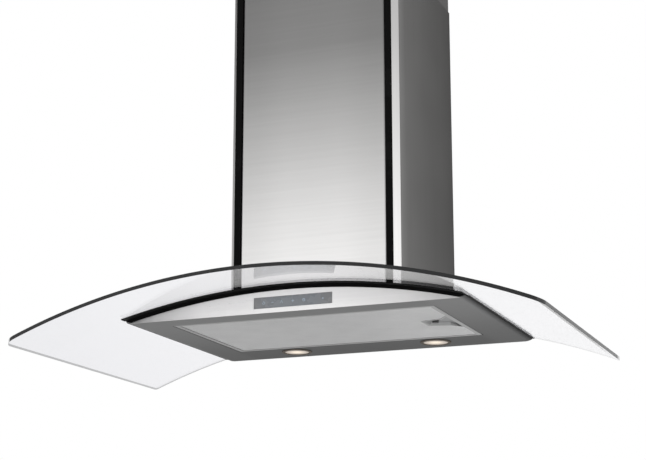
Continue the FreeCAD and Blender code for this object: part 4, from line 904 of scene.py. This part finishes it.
def fixing_cutters():
    """Four round bars, square to the glass, for its fixing holes."""
    work = bmesh.new()
    for side in (-1, 1):
        for y in FIXING_Y:
            normal = Vector((side * FIXING_X, 0.0, glass_z(FIXING_X) - GLASS_CROWN_Z + GLASS_RADIUS))
            turn = normal.to_track_quat("Z", "Y").to_matrix().to_4x4()
            place = Matrix.Translation((side * FIXING_X, y, glass_z(FIXING_X)))
            bmesh.ops.create_cone(work, cap_ends=True, segments=FIXING_HOLE_SIDES, radius1=FIXING_HOLE_R,
                                  radius2=FIXING_HOLE_R, depth=6 * GLASS_THICK, matrix=place @ turn)
    return mesh_of(work)


def side_lips(material):
    """Thin rubber lips that carry the side gaskets a little outwards under the glass."""
    work = bmesh.new()
    for side in (-1, 1):
        low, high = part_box("glass_side_gasket_left" if side < 0 else "glass_side_gasket_right")
        root = max(abs(low.x), abs(high.x)) - LIP_ROOT
        tip = root + LIP_REACH
        section = [(root, LIP_THICK), (tip, LIP_THICK / 2), (tip, LIP_GAP), (root, LIP_GAP)]
        ends = [[work.verts.new((side * x, y, glass_z(x) - drop)) for x, drop in section]
                for y in (low.y, high.y)]
        work.faces.new(ends[0])
        work.faces.new(ends[1])
        for number in range(len(section)):
            follow = (number + 1) % len(section)
            work.faces.new((ends[0][number], ends[0][follow], ends[1][follow], ends[1][number]))
    lips = mesh_of(work, turn_outwards=True)
    add_piece("side_gasket_lips", lips, "hood", "gasket_rubber", material)


# ---------------------------------------------------------------- filter

def sized_group(name, sizes):
    """Empty geometry tree with named inputs, and the wires of those inputs."""
    group = bpy.data.node_groups.new(name, "GeometryNodeTree")
    group.interface.new_socket(name="Geometry", in_out="OUTPUT", socket_type="NodeSocketGeometry")
    for key, kind in sizes.items():
        group.interface.new_socket(name=key, in_out="INPUT", socket_type=kind)
    tree = Tree(group)
    entry = group.nodes.new("NodeGroupInput")
    wires = {key: Wire(tree, entry.outputs[key]) for key in sizes}
    return group, tree, wires


def close_group(group, tree, geometry, material):
    """Ends a geometry tree with real geometry and its material."""
    real = tree.add("GeometryNodeRealizeInstances", inputs={"Geometry": geometry})
    painted = tree.add("GeometryNodeSetMaterial", inputs={"Geometry": real, "Material": material})
    tree.plug(group.nodes.new("NodeGroupOutput").inputs["Geometry"], painted)


def vector(tree, x=0.0, y=0.0, z=0.0):
    """Vector from numbers or wires."""
    return tree.add("ShaderNodeCombineXYZ", inputs={"X": x, "Y": y, "Z": z})


def strands_group(material, keep_recess):
    """Expanded sheet: rows of zigzag strands that meet at their peaks."""
    floats = ("Half Diamond", "Row Gap", "Strand Width", "Strand Thickness", "Left", "Front", "Height")
    sizes = {key: "NodeSocketFloat" for key in floats}
    sizes.update({"Columns": "NodeSocketInt", "Rows": "NodeSocketInt"})
    group, tree, size = sized_group("expanded_sheet", sizes)
    line = tree.add("GeometryNodeMeshLine", inputs={
        "Count": size["Columns"], "Offset": vector(tree, x=size["Half Diamond"])})
    odd = tree.add("GeometryNodeInputIndex") % 2.0
    swing = (1.0 - 2.0 * odd) * size["Row Gap"] * 0.5
    zigzag = tree.add("GeometryNodeSetPosition", inputs={"Geometry": line, "Offset": vector(tree, y=swing)})
    column = tree.add("GeometryNodeMeshLine", inputs={
        "Count": size["Rows"], "Offset": vector(tree, y=size["Row Gap"]),
        "Start Location": vector(tree, size["Left"], size["Front"], size["Height"])})
    rows = tree.add("GeometryNodeInstanceOnPoints", inputs={
        "Points": column, "Instance": zigzag, "Scale": vector(tree, 1.0, 1.0 - 2.0 * odd, 1.0)})
    wires = tree.add("GeometryNodeRealizeInstances", inputs={"Geometry": rows})
    if not keep_recess:
        wires = tree.add("GeometryNodeDeleteGeometry", {"domain": "POINT"},
                         {"Geometry": wires, "Selection": in_recess(tree)})
    curves = tree.add("GeometryNodeMeshToCurve", inputs={"Mesh": wires})
    upright = tree.add("GeometryNodeSetCurveNormal", {"mode": "Z_UP"}, {"Curve": curves})
    bar = tree.add("GeometryNodeCurvePrimitiveQuadrilateral", inputs={
        "Width": size["Strand Width"], "Height": size["Strand Thickness"]})
    strands = tree.add("GeometryNodeCurveToMesh", inputs={
        "Curve": upright, "Profile Curve": bar, "Fill Caps": True})
    close_group(group, tree, strands, material)
    return group


def in_recess(tree):
    """1 inside the arrow-shaped finger recess, with a little room."""
    x, y, _ = tree.axes(tree.add("GeometryNodeInputPosition"))
    room = RECESS_FLANGE * 0.5
    slope = (RECESS_HALF_NECK - RECESS_HALF_LEFT) / (RECESS_NECK - RECESS_LEFT)
    flare = (RECESS_HALF_RIGHT - RECESS_HALF_NECK) / (RECESS_RIGHT - RECESS_NECK)
    narrow = RECESS_HALF_LEFT + room + (x - RECESS_LEFT) * slope
    wide = RECESS_HALF_NECK + room + (x - RECESS_NECK) * flare
    return (y - LATCH_Y).size().below(narrow.most(wide)) * x.above(RECESS_LEFT - room)


def expanded_sheet(name, node, material, keep_recess):
    """Real expanded sheet that stands for one of the filter's outer sheets."""
    low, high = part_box(node)
    columns = int((high.x - low.x) / (DIAMOND_LONG / 2))
    rows = int((high.y - low.y) / (DIAMOND_SHORT / 2))
    sizes = {"Half Diamond": (high.x - low.x - STRAND_WIDTH) / columns,
             "Row Gap": (high.y - low.y - STRAND_WIDTH) / rows,
             "Strand Width": STRAND_WIDTH, "Strand Thickness": STRAND_THICK,
             "Left": low.x + STRAND_WIDTH / 2, "Front": low.y + (high.y - low.y) / rows / 2,
             "Height": (low.z + high.z) / 2, "Columns": columns + 1, "Rows": rows}
    group = strands_group(material, keep_recess)
    mesh = finished(mesh_from([], []), [("NODES", {"node_group": group}, sizes)])
    piece = add_piece(name, mesh, "filter", "filter_aluminium")
    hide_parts(node)


def recess_flange(material):
    """Pressed flange round the finger recess, over the cut edge of the sheet."""
    wide = RECESS_FLANGE
    inner = [(RECESS_LEFT, RECESS_HALF_LEFT), (RECESS_NECK, RECESS_HALF_NECK),
             (RECESS_RIGHT, RECESS_HALF_RIGHT)]
    outer = [(RECESS_LEFT - wide, RECESS_HALF_LEFT + 0.8 * wide),
             (RECESS_NECK - wide / 2, RECESS_HALF_NECK + wide),
             (RECESS_RIGHT + FLANGE_RIGHT, RECESS_HALF_RIGHT + 1.6 * wide)]
    loops = [[(x, LATCH_Y + y) for x, y in half] + [(x, LATCH_Y - y) for x, y in reversed(half)]
             for half in (inner, outer)]
    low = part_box("filter_frame")[0].z
    ring = flat_ring(*loops, low + FLANGE_LOW, low + FLANGE_HIGH)
    mesh = smooth_by_angle(finished(ring, [eased(FLANGE_EASE)]))
    add_piece("filter_recess_flange", mesh, "filter", "filter_aluminium", material)


def latch_coil(material):
    """Coil of the latch, as a smooth copy riding on the filter."""
    mesh = smooth_by_angle(mesh_of(merged_copy("filter_latch_spring")))
    piece = add_piece("latch_coil_spring", mesh, "filter", "fixing_steel", material)
    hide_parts("filter_latch_spring")
    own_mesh(piece)


# ---------------------------------------------------------------- touch marks

def touch_marks(material):
    """Six plain touch marks on the window, drawn as thin strokes."""
    low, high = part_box("display_window")
    size = MARK_SIZE / 2
    ring = [(size * x, size * y) for x, y in arc_points((0, 0), 1.0, 120.0, -200.0, 28)]
    full = [(size * x, size * y) for x, y in arc_points((0, 0), 1.0, 0.0, 360.0, 32)]
    marks = {
        "power": (0.125, [ring, [(0.0, 0.35 * size), (0.0, 1.15 * size)]]),
        "minus": (0.240, [[(-size, 0.0), (size, 0.0)]]),
        "up": (0.355, [[(-size, -size), (0.0, size), (size, -size)]]),
        "plus": (0.500, [[(-size, 0.0), (size, 0.0)], [(0.0, -size), (0.0, size)]]),
        "clock": (0.640, [full, [(0.0, 0.7 * size), (0.0, 0.0), (0.5 * size, 0.0)]]),
        "dot": (0.880, [[(0.5 * x, 0.5 * y) for x, y in full]]),
    }
    curve = bpy.data.curves.new("marks", "CURVE")
    curve.dimensions = "3D"
    curve.bevel_depth = MARK_STROKE / 2
    curve.bevel_resolution = 1
    for share, strokes in marks.values():
        x0 = low.x + share * (high.x - low.x)
        z0 = (low.z + high.z) / 2
        for stroke in strokes:
            line = curve.splines.new("POLY")
            line.points.add(len(stroke) - 1)
            for point, (x, z) in zip(line.points, stroke):
                point.co = (x0 + x, low.y, z0 + z, 1.0)
    mesh = made_real(placed("marks", curve))
    for vert in mesh.vertices:
        vert.co.y = low.y + (vert.co.y - low.y) * MARK_FLATNESS
    mesh.materials.clear()
    add_piece("touch_marks", smooth_by_angle(mesh), "hood", "display_glass", material)


# ---------------------------------------------------------------- screws

def screw_mesh():
    """Pan-head screw along +Z with a cross recess, its seat at the origin."""
    radius, height, core, length = SCREW_HEAD_R, SCREW_HEAD_H, SCREW_R, SCREW_LENGTH
    profile = [(0.0, -length), (core * SCREW_TIP, -length), (core, -length + core), (core, 0.0),
               (radius, 0.0), (radius, SCREW_RIM * height)]
    for turn in SCREW_DOME:
        rise = SCREW_RIM + (1.0 - SCREW_RIM) * math.sin(turn)
        profile.append((radius * math.cos(turn), height * rise))
    profile.append((0.0, height))
    work = bmesh.new()
    line = [work.verts.new((r, 0.0, z)) for r, z in profile]
    edges = [work.edges.new(pair) for pair in zip(line, line[1:])]
    bmesh.ops.spin(work, geom=line + edges, cent=(0, 0, 0), axis=(0, 0, 1), angle=math.tau,
                   steps=SCREW_SIDES)
    bmesh.ops.remove_doubles(work, verts=work.verts, dist=SHAPE_MERGE)
    cross = bmesh.new()
    for x, y in ((SCREW_CROSS_LONG, SCREW_CROSS_WIDE), (SCREW_CROSS_WIDE, SCREW_CROSS_LONG)):
        scale = Matrix.Diagonal((2 * radius * x, 2 * radius * y, height * SCREW_CROSS_TALL, 1.0))
        bmesh.ops.create_cube(cross, size=1.0, matrix=Matrix.Translation((0, 0, height)) @ scale)
    return carved(mesh_of(work, turn_outwards=True), mesh_of(cross), use_self=True)


def solids_of(node):
    """Lowest and highest corner of each separate solid in a node."""
    work = merged_copy(node)
    todo = set(work.verts)
    found = []
    while todo:
        island = [todo.pop()]
        for vert in island:
            for edge in vert.link_edges:
                other = edge.other_vert(vert)
                if other in todo:
                    todo.remove(other)
                    island.append(other)
        corners = [vert.co for vert in island]
        low = Vector([min(c[i] for c in corners) for i in range(3)])
        high = Vector([max(c[i] for c in corners) for i in range(3)])
        found.append((low, high))
    work.free()
    return sorted(found, key=lambda pair: tuple(pair[0]))


def screw_group(material, prototype):
    """Geometry tree that sets a screw at each point, along its aim."""
    group, tree, size = sized_group("screws", {"Places": "NodeSocketGeometry"})
    aim = tree.add("GeometryNodeInputNamedAttribute", {"data_type": "FLOAT_VECTOR"}, {"Name": "aim"})
    turn = tree.add("FunctionNodeAlignRotationToVector", {"axis": "Z"}, {"Vector": aim})
    shape = tree.add("GeometryNodeObjectInfo", inputs={"Object": prototype}, output="Geometry")
    screws = tree.add("GeometryNodeInstanceOnPoints", inputs={
        "Points": size["Places"], "Instance": shape, "Rotation": turn})
    close_group(group, tree, screws, material)
    return group


def screws(material):
    """Detailed screws in place of the frame's plain ones."""
    prototype = placed("screw", screw_mesh())
    group = screw_group(material, prototype)
    inward = {"motor_box_screws": ("hood", lambda centre: Vector((0, 1, 0))),
              "collar_screws": ("hood", lambda centre: Vector((0, 0, -1))),
              "bracket_screws": ("upper_flue", lambda centre: Vector((-math.copysign(1.0, centre.x), 0, 0)))}
    for node, (body, direction) in inward.items():
        seats = []
        aims = []
        for low, high in solids_of(node):
            centre = (low + high) / 2
            along = direction(centre)
            reach = abs((high - low).dot(along)) / 2
            seats.append(centre - along * (reach - SCREW_HEAD_H))
            aims.append(-along)
        places = mesh_from(seats, [])
        attribute = places.attributes.new("aim", "FLOAT_VECTOR", "POINT")
        attribute.data.foreach_set("vector", [number for aim in aims for number in aim])
        mesh = finished(places, [("NODES", {"node_group": group}, {})])
        piece = add_piece(node + "_cross_head", smooth_by_angle(mesh), body, "fixing_steel")
        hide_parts(node)
    bpy.data.objects.remove(prototype)


# ---------------------------------------------------------------- stage, light and camera

def white_for_seeing_rays(tree):
    """1 for camera, glossy and transmission rays, which see the white surroundings."""
    kinds = [tree.add("ShaderNodeLightPath", output=kind)
             for kind in ("Is Camera Ray", "Is Glossy Ray", "Is Transmission Ray")]
    return kinds[0].most(kinds[1]).most(kinds[2])


def white_world():
    """Even studio surroundings: white where they are seen, plain level where they light."""
    world = bpy.data.worlds.new("studio")
    bpy.context.scene.world = world
    world.use_nodes = True
    tree = Tree(world.node_tree)
    world.node_tree.nodes.clear()
    direction = tree.add("ShaderNodeTexCoord", output="Generated")
    level = tree.add("ShaderNodeMapRange", {"interpolation_type": "SMOOTHSTEP"}, {
        "Value": tree.axes(direction)[2], "From Min": SKY_DARKENS, "From Max": SKY_DARKEST,
        "To Min": 1.0, "To Max": SKY_LEVEL})
    seen = tree.add("ShaderNodeBackground", inputs={"Color": (1.0, 1.0, 1.0, 1.0), "Strength": level})
    lit = tree.add("ShaderNodeBackground", inputs={"Color": (0.98, 0.99, 1.0, 1.0), "Strength": AMBIENT})
    mixed = tree.add("ShaderNodeMixShader", inputs={0: white_for_seeing_rays(tree), 1: lit, 2: seen})
    tree.plug(world.node_tree.nodes.new("ShaderNodeOutputWorld").inputs["Surface"], mixed)


def floor():
    """Pale round floor far below, which fades into the white surroundings."""
    rim = arc_points((0.0, 0.0), FLOOR_RADIUS, 0.0, 360.0, FLOOR_STEPS)[1:]
    piece = placed("floor", mesh_from([(x, y, FLOOR_Z) for x, y in rim], [tuple(range(len(rim)))]))
    finish = Finish("pale_floor", Roughness=0.9, Specular_IOR_Level=0.1)
    x, y, _ = finish.axes(finish.place)
    out = (x * x + y * y) ** 0.5
    cloud = finish.noise(0.7, 2.0)
    finish.drive(Base_Color=finish.tint(grey(0.90), 0.98 + 0.03 * cloud))
    glow = finish.add("ShaderNodeEmission", inputs={"Color": (1, 1, 1, 1), "Strength": 1.0})
    far = finish.fade(out, *FLOOR_FADE) * white_for_seeing_rays(finish)
    near = Wire(finish, finish.shader.outputs[0])
    mixed = finish.add("ShaderNodeMixShader", inputs={0: far, 1: near, 2: glow})
    outlet = next(n for n in finish.tree.nodes if n.type == "OUTPUT_MATERIAL")
    finish.plug(outlet.inputs["Surface"], mixed)
    piece.data.materials.append(finish.material)


def lamp(name, place, target, power):
    """Soft square lamp aimed at a point. Mirrors and glass don't show it."""
    light = bpy.data.lights.new(name, "AREA")
    light.shape = "SQUARE"
    light.size = LAMP_SIZE
    light.energy = power
    holder = placed(name, light)
    holder.location = place
    holder.rotation_mode = "QUATERNION"
    holder.rotation_quaternion = (Vector(target) - Vector(place)).to_track_quat("-Z", "Y")
    holder.visible_glossy = False
    holder.visible_transmission = False


def camera():
    """Camera at the photograph's angle, turned left and tilted up."""
    lens = bpy.data.cameras.new("view")
    lens.lens = CAMERA_LENS
    lens.sensor_width = SENSOR_WIDTH
    holder = placed("view", lens)
    holder.location = CAMERA_PLACE
    holder.rotation_euler = (math.radians(90.0 + CAMERA_PITCH), 0.0, math.radians(CAMERA_YAW))
    bpy.context.scene.camera = holder


def main():
    """Builds the looks in the order that the hood goes together."""
    shared = paint_nodes()
    # The glass edges take painted light and shade from left to right, and the side edge a painted glow.
    sheet = add_piece("bent_glass_sheet", bent_glass(), "hood", "curved_glass", glass(),
                      glass_edge("glass_front_edge", 0.022, 0.016),
                      glass_edge("glass_side_edge", 0.10, 0.045, 0.45))
    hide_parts("glass_canopy")
    side_lips(shared["rubber"])
    expanded_sheet("filter_outer_expanded_sheet", "filter_front_mesh", shared["strand"], False)
    expanded_sheet("filter_inner_expanded_sheet", "filter_back_mesh", shared["strand"], True)
    recess_flange(shared["filter"])
    latch_coil(shared["ground"])
    touch_marks(mark_light())
    screws(shared["zinc"])
    white_world()
    floor()
    for name, (place, target, power) in LAMPS.items():
        lamp(name, place, target, power)
    camera()
    bpy.context.scene.view_settings.view_transform = "Standard"


main()
